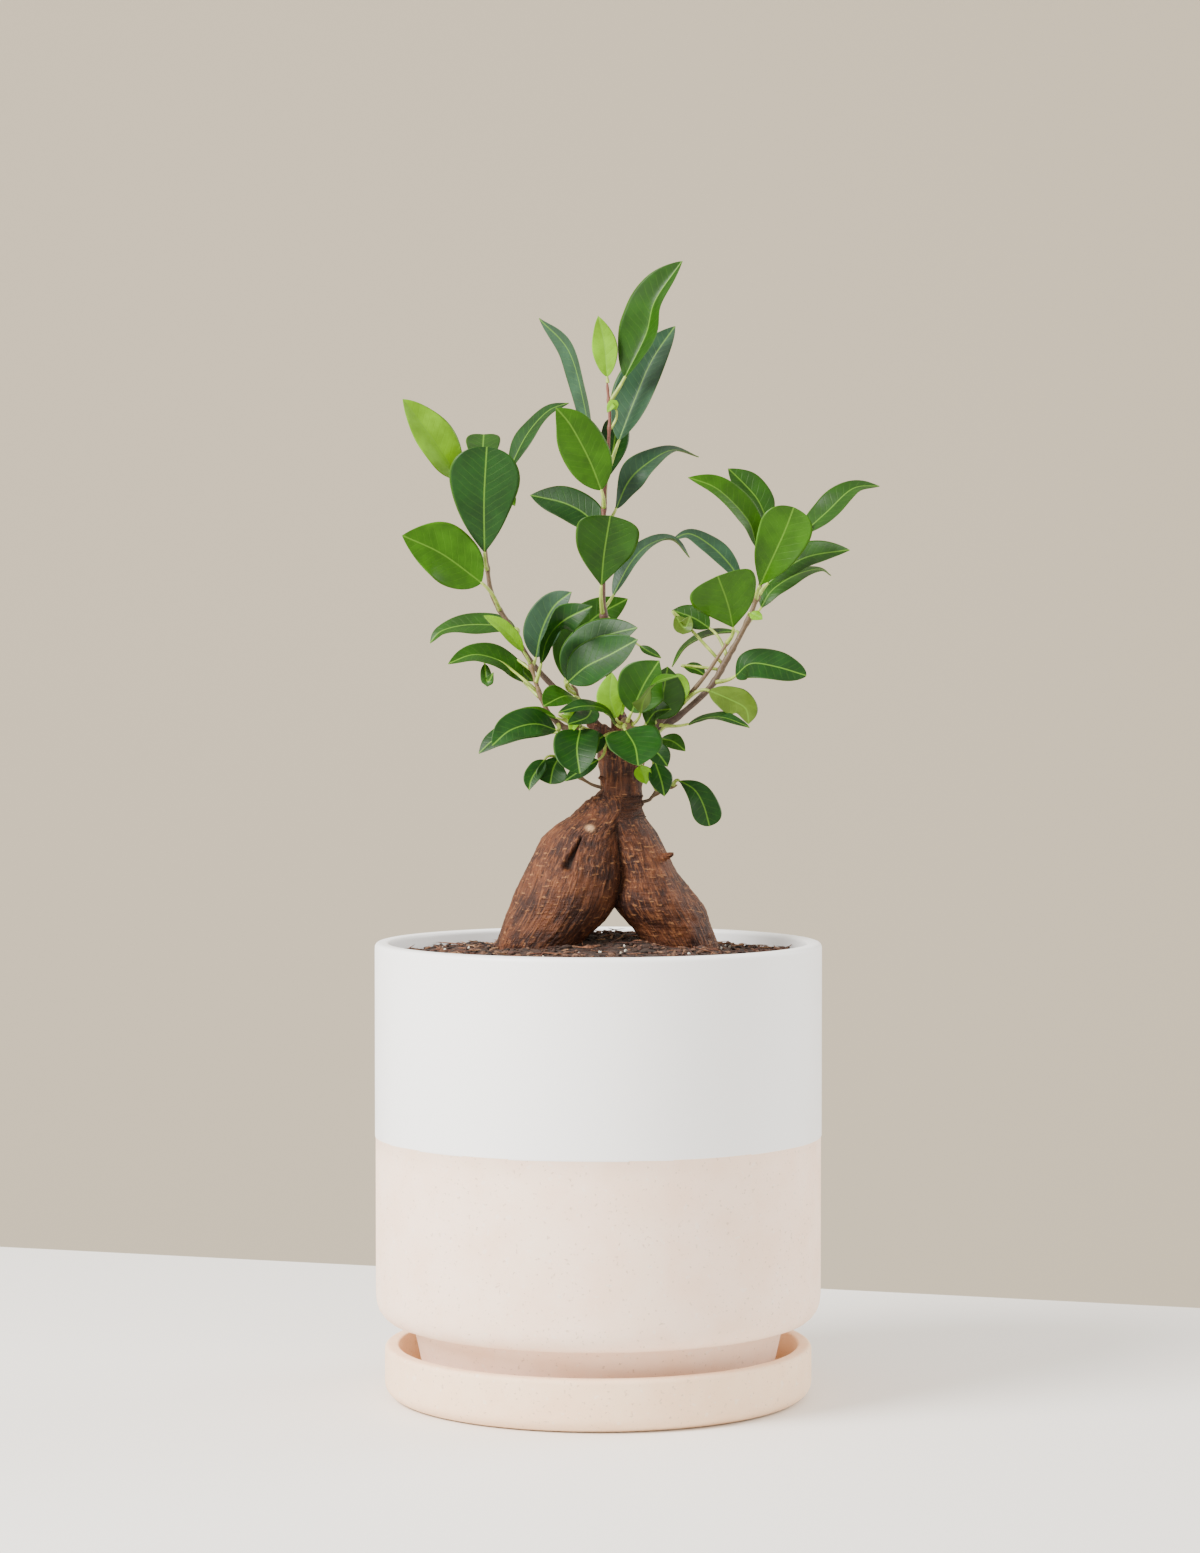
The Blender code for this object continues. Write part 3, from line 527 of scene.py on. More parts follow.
def new_material(name, colour, roughness):
    """A Principled material; returns it with its tree and shader."""
    made = bpy.data.materials.new(name)
    made.use_nodes = True
    shader = made.node_tree.nodes["Principled BSDF"]
    shader.inputs["Base Color"].default_value = rgba(colour)
    shader.inputs["Roughness"].default_value = roughness
    made.diffuse_color = rgba(colour)
    return made, made.node_tree, shader


def stretched(tree, where, factors):
    """A place with each axis multiplied by its factor."""
    return node(tree, "ShaderNodeVectorMath", {0: where, 1: factors}, operation="MULTIPLY").outputs[0]


def mm_coords(tree):
    """Object coordinates in mm."""
    return stretched(tree, node(tree, "ShaderNodeTexCoord").outputs["Object"], (1 / MM, 1 / MM, 1 / MM))


def grains(tree, where, size, detail=3.0, rough=0.55):
    """Noise with features of a size in mm."""
    made = node(tree, "ShaderNodeTexNoise",
                {"Vector": where, "Scale": 1.0 / size, "Detail": detail, "Roughness": rough})
    return made.outputs["Fac"]


def attribute(tree, name, output="Fac"):
    """A value stored on the mesh."""
    return node(tree, "ShaderNodeAttribute", attribute_name=name).outputs[output]


def maths(tree, operation, *values, clamp=False):
    """One step of arithmetic."""
    inputs = dict(enumerate(values))
    return node(tree, "ShaderNodeMath", inputs, operation=operation, use_clamp=clamp).outputs[0]


def step(tree, value, start, end, low=0.0, high=1.0):
    """A smooth step of the value from low at start to high at end."""
    return node(tree, "ShaderNodeMapRange", {0: value, 1: start, 2: end, 3: low, 4: high},
                interpolation_type="SMOOTHSTEP").outputs[0]


def blend(tree, share, first, second, mode="MIX"):
    """Two colours mixed by a share."""
    first = rgba(first) if isinstance(first, str) else first
    second = rgba(second) if isinstance(second, str) else second
    made = node(tree, "ShaderNodeMix", {0: share, 6: first, 7: second}, data_type="RGBA", blend_type=mode)
    return made.outputs[2]


def relief(tree, shader, height, depth, strength=1.0, normal=None):
    """A bump of a depth in mm on the shader's normal."""
    inputs = {"Height": height, "Distance": depth * MM, "Strength": strength}
    if normal:
        inputs["Normal"] = normal
    made = node(tree, "ShaderNodeBump", inputs).outputs[0]
    tree.links.new(made, shader.inputs["Normal"])
    return made


def clay_material(name, colour, darker, seed_shift):
    """Bare fired clay: pressed from a fine stoneware body, so matte with pinholes and grog specks."""
    made, tree, shader = new_material(name, colour, 0.88)
    where = mm_coords(tree)
    where = node(tree, "ShaderNodeVectorMath", {0: where, 1: (seed_shift, 0, 0)}).outputs[0]
    cloud = step(tree, grains(tree, where, 14.0, 4.0), 0.3, 0.75, 0.0, 0.6)
    colour_now = blend(tree, cloud, colour, darker)
    specks = step(tree, grains(tree, where, 1.1, 1.0), 0.66, 0.74)
    colour_now = blend(tree, maths(tree, "MULTIPLY", specks, 0.5), colour_now, "#c9ae98")
    pale = step(tree, grains(tree, where, 1.9, 0.0), 0.74, 0.8)
    colour_now = blend(tree, maths(tree, "MULTIPLY", pale, 0.3), colour_now, "#f6ece2")
    tree.links.new(colour_now, shader.inputs["Base Color"])
    fine = grains(tree, where, 0.5, 3.0, 0.65)
    pits = step(tree, grains(tree, where, 1.1, 1.0), 0.66, 0.76, 1.0, 0.0)
    normal = relief(tree, shader, fine, 0.10, 0.5)
    relief(tree, shader, pits, 0.25, 0.6, normal)
    return made


def glaze_material():
    """White satin glaze: dipped and fired, so smooth with a soft shine and a faint sag."""
    made, tree, shader = new_material("white satin glaze", "#f1f1f1", 0.42)
    shader.inputs["IOR"].default_value = 1.5
    where = mm_coords(tree)
    sag = grains(tree, where, 22.0, 2.0)
    dull = step(tree, grains(tree, where, 9.0, 2.0), 0.2, 0.8, 0.38, 0.48)
    tree.links.new(dull, shader.inputs["Roughness"])
    relief(tree, shader, sag, 0.25, 0.4)
    return made


def soil_material():
    """Potting soil: peat and bark fines, damp and rough."""
    made, tree, shader = new_material("potting soil", "#33211a", 0.95)
    where = mm_coords(tree)
    grain = grains(tree, where, 1.6, 5.0, 0.7)
    colour = blend(tree, step(tree, grain, 0.35, 0.7), "#1b110c", "#4f3528")
    tree.links.new(colour, shader.inputs["Base Color"])
    relief(tree, shader, grain, 1.2, 0.9)
    return made


def litter_material():
    """Bark chips, fibres and grit on the soil: each bit takes its own stored colour."""
    made, tree, shader = new_material("bark chips and grit", "#4a3023", 0.9)
    where = mm_coords(tree)
    grain = grains(tree, where, 0.5, 3.0, 0.6)
    tint = attribute(tree, "bit_colour", "Color")
    shade = blend(tree, step(tree, grain, 0.3, 0.7), "#8a8a8a", "#ffffff")
    tree.links.new(blend(tree, 1.0, tint, shade, "MULTIPLY"), shader.inputs["Base Color"])
    relief(tree, shader, grain, 0.3, 0.7)
    return made


def bark_material():
    """Ficus bark: grown, thin and fibrous, brown-red on the ridges, with painted shade in its grooves and
    cracks.
    """
    made, tree, shader = new_material("ficus bark", "#6b4530", 0.6)
    shader.inputs["Specular IOR Level"].default_value = 0.25
    spot = attribute(tree, "grain", "Vector")
    fibre = grains(tree, stretched(tree, spot, (1.0, 1.0, 0.14)), 0.8, 4.0, 0.65)
    rings = grains(tree, stretched(tree, spot, (0.3, 0.3, 1.0)), 0.9, 2.0, 0.5)
    patch = grains(tree, spot, 9.0, 3.0)
    colour = blend(tree, step(tree, patch, 0.35, 0.68), "#2d140b", "#593019")
    colour = blend(tree, step(tree, fibre, 0.50, 0.64, 0.0, 0.6), colour, "#7e4e2e")
    # painted shade: darkens the fibre grooves
    colour = blend(tree, step(tree, fibre, 0.46, 0.34, 0.0, 0.75), colour, "#1a0b06")
    colour = blend(tree, step(tree, rings, 0.62, 0.68, 0.0, 0.6), colour, "#946640")
    # painted shade: darkens the cracks, the split's hole and where the legs meet
    colour = blend(tree, attribute(tree, "crevice_shade"), colour, "#1d0f0a")
    colour = blend(tree, attribute(tree, "scar"), colour, "#c9a27c")
    tree.links.new(colour, shader.inputs["Base Color"])
    normal = relief(tree, shader, fibre, 0.9, 1.0)
    relief(tree, shader, rings, 0.5, 0.8, normal)
    return made


def shoot_material():
    """Young bark: smooth brown with corky dots, greener or redder towards the tip."""
    made, tree, shader = new_material("young ficus bark", "#5d4638", 0.6)
    where = mm_coords(tree)
    tint = attribute(tree, "stem_colour", "Color")
    grain = grains(tree, where, 0.9, 3.0, 0.6)
    colour = blend(tree, step(tree, grain, 0.55, 0.75, 0.0, 0.4), tint, "#7a6250")
    colour = blend(tree, step(tree, grain, 0.45, 0.3, 0.0, 0.5), colour, "#2e1f18")
    tree.links.new(colour, shader.inputs["Base Color"])
    relief(tree, shader, grain, 0.25, 0.7)
    return made


def petiole_material():
    """Leaf stalk: living green tissue with a waxy skin."""
    made, tree, shader = new_material("leaf stalk", "#a3b457", 0.45)
    where = mm_coords(tree)
    colour = blend(tree, step(tree, grains(tree, where, 2.5, 2.0), 0.35, 0.7), "#7c9034", "#9dad4c")
    tree.links.new(colour, shader.inputs["Base Color"])
    return made


def leaf_material(vein_gap):
    """Ficus leaf: grown, with a waxy upper side, a pale midrib and fine side veins."""
    made, tree, shader = new_material("waxy ficus leaf", "#4f8a2a", 0.36)
    shader.inputs["Specular IOR Level"].default_value = 0.2
    where = mm_coords(tree)
    across = maths(tree, "ABSOLUTE", attribute(tree, "across"))
    along = attribute(tree, "along")
    edge = attribute(tree, "edge")
    under = attribute(tree, "under")
    tint = attribute(tree, "leaf_colour", "Color")
    slope = maths(tree, "MULTIPLY", across, 0.72)
    beat = maths(tree, "DIVIDE", maths(tree, "SUBTRACT", along, slope), vein_gap)
    wander = maths(tree, "MULTIPLY", grains(tree, where, 6.0, 1.0), 0.5)
    near = maths(tree, "PINGPONG", maths(tree, "ADD", beat, wander), 0.5)
    vein = step(tree, near, 0.11, 0.02)
    vein = maths(tree, "MULTIPLY", vein, step(tree, edge, 0.95, 0.6))
    rib = step(tree, across, 0.38, 0.12)
    patch = step(tree, grains(tree, where, 7.0, 3.0), 0.3, 0.7, 0.78, 1.2)
    colour = blend(tree, 1.0, tint, node(tree, "ShaderNodeCombineColor",
                                         {0: patch, 1: patch, 2: patch}).outputs[0], "MULTIPLY")
    colour = blend(tree, maths(tree, "MULTIPLY", vein, 0.05), colour, "#6c9a2a")
    rim = step(tree, edge, 0.93, 1.0, 0.0, 0.3)
    pale = maths(tree, "MAXIMUM", maths(tree, "MULTIPLY", rib, 0.5), rim)
    colour = blend(tree, pale, colour, "#6b9a2c")
    tree.links.new(colour, shader.inputs["Base Color"])
    tree.links.new(step(tree, under, 0.3, 0.7, 0.42, 0.62), shader.inputs["Roughness"])
    furrow = maths(tree, "MULTIPLY", maths(tree, "MAXIMUM", vein, rib), -1.0)
    normal = relief(tree, shader, furrow, 0.06, 0.5)
    relief(tree, shader, grains(tree, where, 1.3, 2.0), 0.08, 0.5, normal)
    glow = node(tree, "ShaderNodeBsdfTranslucent", {"Color": blend(tree, 0.3, colour, "#6f9a10")})
    both = node(tree, "ShaderNodeMixShader", {0: 0.12, 1: shader.outputs[0], 2: glow.outputs[0]})
    out = next(n for n in tree.nodes if n.type == "OUTPUT_MATERIAL")
    tree.links.new(both.outputs[0], out.inputs["Surface"])
    return made


# ---------------------------------------------------------------- surfaces of the pieces

def soil_height(x, y):
    """Height of the soil: a wall height, a low mound, a heap behind the legs and small lumps."""
    reach = np.hypot(x, y)
    share = np.clip(1 - reach / 68.0, 0, 1)
    height = SOIL_EDGE + 3.6 * share * share * (3 - 2 * share) * 1.6 ** (1 - share)
    heap = 3.0 * np.exp(-((x - 5) ** 2 + (y - 14) ** 2) / 18.0 ** 2)
    for foot_x, foot_y in ((-21.0, -4.0), (28.0, 1.0)):
        heap = heap + 0.9 * np.exp(-((x - foot_x) ** 2 + (y - foot_y) ** 2) / 16.0 ** 2)
    spot = np.stack([x, y, np.zeros_like(x)], axis=-1)
    return height + heap + 0.55 * noise(spot, 6.0, 3) + 0.4 * noise(spot, 2.2, 4)


def leg_rings(sections, rows, columns, lumps, seed):
    """Ovals up a leg: centre and half sizes run smoothly through the sections, with soft lumps."""
    path = smooth_path(sections, rows)
    angle = np.linspace(0, 2 * np.pi, columns, endpoint=False)[None, :]
    ring = np.stack([path[:, 1:2] + path[:, 3:4] * np.cos(angle),
                     path[:, 2:3] + path[:, 4:5] * np.sin(angle),
                     np.repeat(path[:, :1], columns, axis=1)], axis=-1)
    middle = np.stack([path[:, 1], path[:, 2], path[:, 0]], axis=-1)[:, None]
    swell = 1 + lumps * noise(ring, np.array([9.0, 9.0, 14.0]), seed)[..., None]
    flat = np.array([1.0, 1.0, 0.0])
    return middle + (ring - middle) * (flat * swell + (1 - flat))


def leg_coordinates(points, sections):
    """Place in a leg: x and y from its middle at that height, and how far out as a share."""
    table = np.array(sections)
    middle = np.stack([np.interp(points[:, 2], table[:, 0], table[:, i]) for i in (1, 2)], axis=1)
    half = np.stack([np.interp(points[:, 2], table[:, 0], table[:, i]) for i in (3, 4)], axis=1)
    away = points[:, :2] - middle
    return away, np.linalg.norm(away / half, axis=1)


def is_twig(route):
    """Whether a route starts below the crown of the neck."""
    return route[0][2] < CROWN_FOOT


def shoot_tube(name, columns, rows_per_mm=1.2):
    """A shoot: a tapered tube with a flared foot, a swelling at each leaf and a closed bud."""
    foot_radius, tip_radius, route = SHOOTS[name]
    inside = (*NECK_AXIS, route[0][2] - (2.0 if is_twig(route) else 4.0))
    route = [inside, *route]
    length = np.linalg.norm(np.diff(np.array(route), axis=0), axis=1).sum()
    rows = int(length * rows_per_mm) + 6
    path = smooth_path(route, rows)
    share = np.linspace(0, 1, rows)
    run = share * length
    radii = foot_radius + (tip_radius - foot_radius) * share
    radii = radii + 0.5 * foot_radius * np.exp(-run / 5.0)
    for values in [*NAMED_LEAVES.values(), *YOUNG_LEAVES]:
        if values.shoot == name:
            radii = radii + 0.3 * np.exp(-((path[:, 2] - values.height) / 1.0) ** 2) * (share > 0.05)
    radii = radii * (1 + 0.08 * noise(path, 3.0, 11))
    radii[-4:] *= np.array([1.15, 1.0, 0.7, 0.25])
    sway = np.stack([noise(path, 9.0, 12), noise(path, 9.0, 13), np.zeros(rows)], axis=1)
    path = path + 0.35 * sway * np.minimum(share, 0.2)[:, None] * 5
    return tube(path, radii, columns), share


def stem_line(name):
    """The middle line and radii of a shoot, for leaf stalks that start on it."""
    foot_radius, tip_radius, route = SHOOTS[name]
    path = smooth_path(route, 120)
    return path, np.linspace(foot_radius, tip_radius, len(path))


def direction(turn, lift):
    """The unit vector that looks in a direction given in degrees."""
    turn, lift = math.radians(turn), math.radians(lift)
    return np.array([math.sin(turn) * math.cos(lift), -math.cos(turn) * math.cos(lift), math.sin(lift)])


def leaf_shells(values, seed, rows, columns, thickness):
    """A blade and its stalk.

    The blade is a function of s along the midrib and t across it from -1 to 1. A point is
    spine(s) + t * half(s) * (side * cos fold) + lift(s, t) * up, where half(s) is
    width / 2 * s^a * (1 - s)^b over its peak, and lift adds the fold, a cup towards the edges, a
    wave along them and the groove of the midrib. The under side is the same less the thickness.
    """
    rng = np.random.default_rng(seed)
    s = 0.5 - 0.5 * np.cos(np.pi * np.linspace(0, 1, rows))
    fine = smooth_path(values.spine, 200)
    length = np.linalg.norm(np.diff(fine, axis=0), axis=1).sum()
    marks = np.linspace(0, 1, 200)
    spine = np.stack([np.interp(s, marks, fine[:, axis]) for axis in range(3)], axis=1)
    slope = unit(np.gradient(fine, axis=0))
    along = unit(np.stack([np.interp(s, marks, slope[:, axis]) for axis in range(3)], axis=1))
    first = direction(*values.facing)
    last = direction(*(values.tip_facing or values.facing))
    look = first + s[:, None] * (last - first)
    up = unit(look - along * (look * along).sum(axis=1, keepdims=True))
    side = np.cross(up, along)
    foot_power, tip_power = BLADE_SHAPES[values.shape]
    peak = foot_power / (foot_power + tip_power)
    top = peak ** foot_power * (1 - peak) ** tip_power
    half = 0.5 * values.width * s ** foot_power * (1 - s) ** tip_power / top
    half = np.maximum(half * (1 + 0.03 * np.sin(9 * s + rng.uniform(0, 6))), 0.22)[:, None]

    t = np.linspace(1, -1, columns)[None, :]
    t = np.sign(t) * np.abs(t) ** 0.9
    fold = math.radians(values.fold)
    bend = np.sqrt(t * t + 0.02) - math.sqrt(0.02)
    wave_phase, cup = rng.uniform(0, 6.28, 2), rng.uniform(-0.10, 0.16)
    wave = np.where(t > 0, np.sin(11 * s[:, None] + wave_phase[0]),
                    np.sin(10 * s[:, None] + wave_phase[1]))
    lift = half * (math.sin(fold) * bend + cup * t * t)
    lift = lift + 0.055 * half * wave * t * t * np.sin(np.pi * s)[:, None]
    out = half * t
    rib = np.exp(-(out / 0.55) ** 2) * (1 - 0.8 * s[:, None])
    thick = thickness * (1 - 0.55 * t * t)
    upper = spine[:, None] + out[..., None] * math.cos(fold) * side[:, None]
    upper = upper + (lift + 0.5 * thick - 0.16 * rib)[..., None] * up[:, None]
    lower = upper - (thick + 0.34 * rib)[..., None] * up[:, None]
    lower = lower[:, 1:-1][:, ::-1]
    rings = np.concatenate([upper, lower], axis=1)
    back = slice(-2, 0, -1)
    across = np.concatenate([out, out[:, back]], axis=1)
    edge = np.broadcast_to(np.abs(t), out.shape)
    edge = np.concatenate([edge, edge[:, back]], axis=1)
    under = np.concatenate([np.zeros_like(upper[..., 0]), np.ones_like(lower[..., 0])], axis=1)

    colour = linear(LEAF_TONES[values.tone]) * rng.uniform(0.9, 1.1)
    pale = 0.45 * colour + 0.55 * linear("#66783c")
    colours = colour * (1 - under[..., None]) + pale * under[..., None]
    values_of = {
        "across": across.ravel(),
        "along": np.broadcast_to(s[:, None] * length, across.shape).ravel(),
        "edge": edge.ravel(),
        "under": under.ravel(),
        "leaf_colour": colours.reshape(-1, 3),
    }
    blade = rings_shell(rings, 0, values_of)

    path, radii = stem_line(values.shoot)
    near = int(np.argmin(np.abs(path[:, 2] - values.height)))
    growth = unit(path[min(near + 1, len(path) - 1)] - path[max(near - 1, 0)])
    foot = spine[0] - 0.05 * along[0]
    away = foot - path[near]
    sideways = away - growth * away.dot(growth)
    start = path[near]
    if np.linalg.norm(sideways) > 0.15 * np.linalg.norm(away):
        start = start + unit(sideways) * radii[near] * 0.7
    gap = np.linalg.norm(foot - start)
    bend_point = foot - along[0] * gap * 0.4
    share = np.linspace(0, 1, 12)[:, None]
    line = (1 - share) ** 2 * start + 2 * share * (1 - share) * bend_point + share ** 2 * foot
    line = np.vstack([line, spine[1:4] - 0.22 * up[1:4]])
    girth = np.concatenate([np.linspace(0.78, 0.5, 12), [0.44, 0.4, 0.3]])
    girth = girth * min(1.0, 0.55 + values.width / 30.0)
    stalk = rings_shell(tube(line, girth, 8), 1)
    return [blade, stalk]


def scattered(base, base_faces, spots, sizes, turns, finish=0, values=None):
    """Copies of a small closed shape: each is scaled, turned and set at its spot."""
    bodies = np.einsum("nij,nvj->nvi", turns, base[None] * sizes[:, None]) + spots[:, None]
    count, corners = bodies.shape[:2]
    faces = (np.array(base_faces)[None] + corners * np.arange(count)[:, None, None])
    spread = {key: np.repeat(tints, corners, axis=0) for key, tints in (values or {}).items()}
    return Shell(bodies.reshape(-1, 3), faces.reshape(-1, np.array(base_faces).shape[1]).tolist(),
                 finish, spread)


def turned(axis, angles):
    """The matrix of a turn about one axis, for each angle."""
    first, second = (axis + 1) % 3, (axis + 2) % 3
    made = np.zeros((len(angles), 3, 3))
    made[:, axis, axis] = 1.0
    made[:, first, first] = made[:, second, second] = np.cos(angles)
    made[:, first, second] = -np.sin(angles)
    made[:, second, first] = np.sin(angles)
    return made


def rotations(rng, count, tilt):
    """Turn matrices: any turn about Z after a random tilt up to an angle in radians."""
    turn, lean, way = (rng.uniform(low, high, count)
                       for low, high in ((0, FULL_TURN), (-tilt, tilt), (0, FULL_TURN)))
    return turned(2, turn) @ turned(0, lean) @ turned(2, way)


def ball(rows, columns):
    """A small unit ball as rings between two poles, for grit and crumbs."""
    angle = np.linspace(0, np.pi, rows + 2)
    profile = np.stack([np.sin(angle), np.cos(angle)], axis=1)
    profile[[0, -1], 0] = 0.0
    made = revolved(profile, columns)
    return made.points, made.faces


# ---------------------------------------------------------------- settings

def length(name, description, default):
    """A length that the sidebar shows."""
    return bpy.props.FloatProperty(name=name, description=description, default=default, unit="LENGTH")


class BonsaiSizes(bpy.types.PropertyGroup):
    """Sizes of the pieces."""

    glaze_line: length("Glaze line", "Height of the glaze's lower edge", 0.088)
    pot_radius: length("Pot radius", "Outer radius of the pot", 0.075)
    pot_rim: length("Pot rim", "Height of the pot's rim", 0.1527)
    saucer_radius: length("Saucer radius", "Outer radius of the saucer", 0.0718)
    saucer_top: length("Saucer height", "Height of the saucer's rim", 0.0175)
    sides: bpy.props.IntProperty(
        name="Sides", description="Points round the pot and the saucer", default=192, min=24)
    crumbs: bpy.props.IntProperty(
        name="Crumbs", description="Loose bits of bark on the soil", default=1500, min=0)
    bark_voxel: length("Bark detail", "Voxel size of the joined trunk", 0.00055)
    blade_thickness: length("Blade thickness", "Thickness at the midrib", 0.00034)
    vein_gap: length("Vein gap", "Distance between side veins", 0.0026)


class BonsaiStage(bpy.types.PropertyGroup):
    """Camera and light."""

    lens: bpy.props.FloatProperty(name="Lens", description="Focal length in mm", default=90.4)
    key_power: bpy.props.FloatProperty(
        name="Key light", description="Power of the large soft light", default=82.0, subtype="POWER")
    ambient: bpy.props.FloatProperty(
        name="Ambient", description="Strength of the room light", default=1.85)


class BONSAI_OT_saucer(bpy.types.Operator):
    """Builds the saucer: a turned profile of a flat dish with rounded edges."""

    bl_idname = "bonsai.saucer"
    bl_label = "Saucer"

    def execute(self, context):
        sizes = context.scene.bonsai_sizes
        radius, top = sizes.saucer_radius / MM, sizes.saucer_top / MM
        inner = radius - SAUCER_WALL
        profile = rounded([
            (0.0, SAUCER_FLOOR, 0.0), (30.0, SAUCER_FLOOR, 0.5), (inner, SAUCER_FLOOR, 1.4),
            (inner, top, 1.0), (radius, top, 1.7), (radius, 2.4, 3.0), (67.5, 0.0, 1.6),
            (30.0, 0.0, 0.5), (0.0, 0.0, 0.0)])
        shell = revolved(profile, sizes.sides)
        finish = clay_material("bare fired clay, saucer", "#f9d9b8", "#f2caa4", 40.0)
        add_piece("saucer_body", [shell], [finish], ["saucer"])
        return {"FINISHED"}


class BONSAI_OT_pot(bpy.types.Operator):
    """Builds the pot: a turned profile, white glaze above the glaze line and bare clay below."""

    bl_idname = "bonsai.pot"
    bl_label = "Pot"

    def execute(self, context):
        sizes = context.scene.bonsai_sizes
        radius, rim, line = sizes.pot_radius / MM, sizes.pot_rim / MM, sizes.glaze_line / MM
        inner, skin = radius - POT_WALL, radius - 3.0
        profile = rounded([
            (DRAIN_RADIUS, POT_FLOOR, 0.6), (55.0, POT_FLOOR, 5.0), (inner, 36.0, 8.0), (inner, rim, 1.5),
            (radius, rim, 1.9), (radius, POT_SHOULDER, 9.5), (62.5, POT_SHOULDER, 0.9),
            (58.2, POT_FOOT, 1.0), (50.0, POT_FOOT, 0.6), (48.0, POT_RECESS, 0.6),
            (DRAIN_RADIUS, POT_RECESS, 0.6)])
        profile = add_heights(profile, [line + gap for gap in (1.2, 0.7, 0.25, 0.0, -0.3, -8.0)])
        below = (profile[:, 1] < line - 0.01) & (profile[:, 0] > skin)
        profile[below, 0] -= GLAZE_DEPTH

        def hand(rings):
            """The slight out-of-round of a thrown pot, and the sag of its glaze line."""
            turn = np.arctan2(rings[..., 1], rings[..., 0])
            reach = np.hypot(rings[..., 0], rings[..., 1])
            wide = 1 + 0.0012 * np.sin(2 * turn + 0.6) + 0.0006 * np.sin(3 * turn + 2.0)
            near = np.exp(-((rings[..., 2] - line) / 3.0) ** 2) * (reach > skin)
            sag = near * (0.22 * np.sin(3 * turn + 1.0) + 0.12 * np.sin(7 * turn))
            return np.stack([rings[..., 0] * wide, rings[..., 1] * wide, rings[..., 2] + sag], axis=-1)

        shell = revolved(profile, sizes.sides, hand)
        clay = clay_material("bare fired clay, pot", "#fadfca", "#f4d0b4", 0.0)
        piece = add_piece("pot_body", [shell], [glaze_material(), clay], ["pot"])
        mesh = piece.data
        middle = np.empty(len(mesh.polygons) * 3)
        mesh.polygons.foreach_get("center", middle)
        middle = middle.reshape(-1, 3) / MM
        inside = np.hypot(middle[:, 0], middle[:, 1]) < skin
        bare = np.where(inside, middle[:, 2] < 30.0, middle[:, 2] < line - 0.05)
        mesh.polygons.foreach_set("material_index", bare.astype(np.int32))
        return {"FINISHED"}


class BONSAI_OT_soil(bpy.types.Operator):
    """Builds the soil: a plug whose top is a height field over polar rings."""

    bl_idname = "bonsai.soil"
    bl_label = "Soil"

    def execute(self, context):
        reach = np.linspace(SOIL_RADIUS, 1.0, SOIL_RINGS)[::-1]
        top = np.stack([reach, np.full(SOIL_RINGS, 150.0)], axis=1)
        rest = np.array([(SOIL_RADIUS, 140.0), (SOIL_RADIUS, 44.0), (64.5, 37.0), (55.0, 30.0),
                         (50.5, SOIL_FLOOR), (0.0, SOIL_FLOOR)])
        profile = np.vstack([[0.0, 150.0], top, rest])

        def heap(rings):
            """Lifts the top's rings to the soil's height."""
            upper = rings[..., 2] > 149.0
            height = soil_height(rings[..., 0], rings[..., 1])
            return np.dstack([rings[..., :2], np.where(upper, height, rings[..., 2])])

        shell = revolved(profile, 200, heap)
        shell.points[-2, 2] = soil_height(np.zeros(1), np.zeros(1))[0]
        add_piece("soil_body", [shell], [soil_material()], ["soil"])
        return {"FINISHED"}


class BONSAI_OT_litter(bpy.types.Operator):
    """Scatters crumbs, bark chips, fibres and pale grit over the soil."""

    bl_idname = "bonsai.litter"
    bl_label = "Bark chips and grit"

    def execute(self, context):
        rng = np.random.default_rng(7)
        count = context.scene.bonsai_sizes.crumbs
        ball_points, ball_faces = ball(3, 6)
        triangles = [face for face in ball_faces if len(face) == 3]
        squares = [face for face in ball_faces if len(face) == 4]
        triangles += [face[:3] for face in squares] + [[face[0], face[2], face[3]] for face in squares]

        def spots(number, above):
            """Random places on the soil, a little above its surface."""
            reach = LITTER_RADIUS * np.sqrt(rng.uniform(0, 1, number))
            turn = rng.uniform(0, FULL_TURN, number)
            x, y = reach * np.cos(turn), reach * np.sin(turn)
            return np.stack([x, y, soil_height(x, y) + above], axis=1)

        browns = np.array([linear(c) for c in ("#2a1a13", "#3b261b", "#54362a", "#6b4a36", "#7d5a42")])
        sizes = rng.uniform(0.35, 1.25, (count, 1))
        sizes = sizes * rng.uniform([1.0, 0.5, 0.35], [1.9, 1.0, 0.8], (count, 3))
        crumbs = scattered(ball_points, triangles, spots(count, 0.25), sizes, rotations(rng, count, 0.6),
                           values={"bit_colour": browns[rng.integers(0, 5, count)]})
        thin = 420
        ends = rng.uniform([2.2, 0.16, 0.12], [6.5, 0.34, 0.26], (thin, 3))
        reds = np.array([linear(c) for c in ("#6a3c28", "#8a5a3e", "#a57a57", "#4a2a1e")])
        fibres = scattered(ball_points, triangles, spots(thin, 0.7), ends, rotations(rng, thin, 0.35),
                           values={"bit_colour": reds[rng.integers(0, 4, thin)]})
        few = 70
        pale = np.array([linear(c) for c in ("#d8d2c4", "#b9ab94", "#e8e4da")])
        grit = scattered(ball_points, triangles, spots(few, 0.35), rng.uniform(0.3, 0.7, (few, 3)),
                         rotations(rng, few, 1.5), values={"bit_colour": pale[rng.integers(0, 3, few)]})
        add_piece("soil_litter", [crumbs, fibres, grit], [litter_material()])
        return {"FINISHED"}


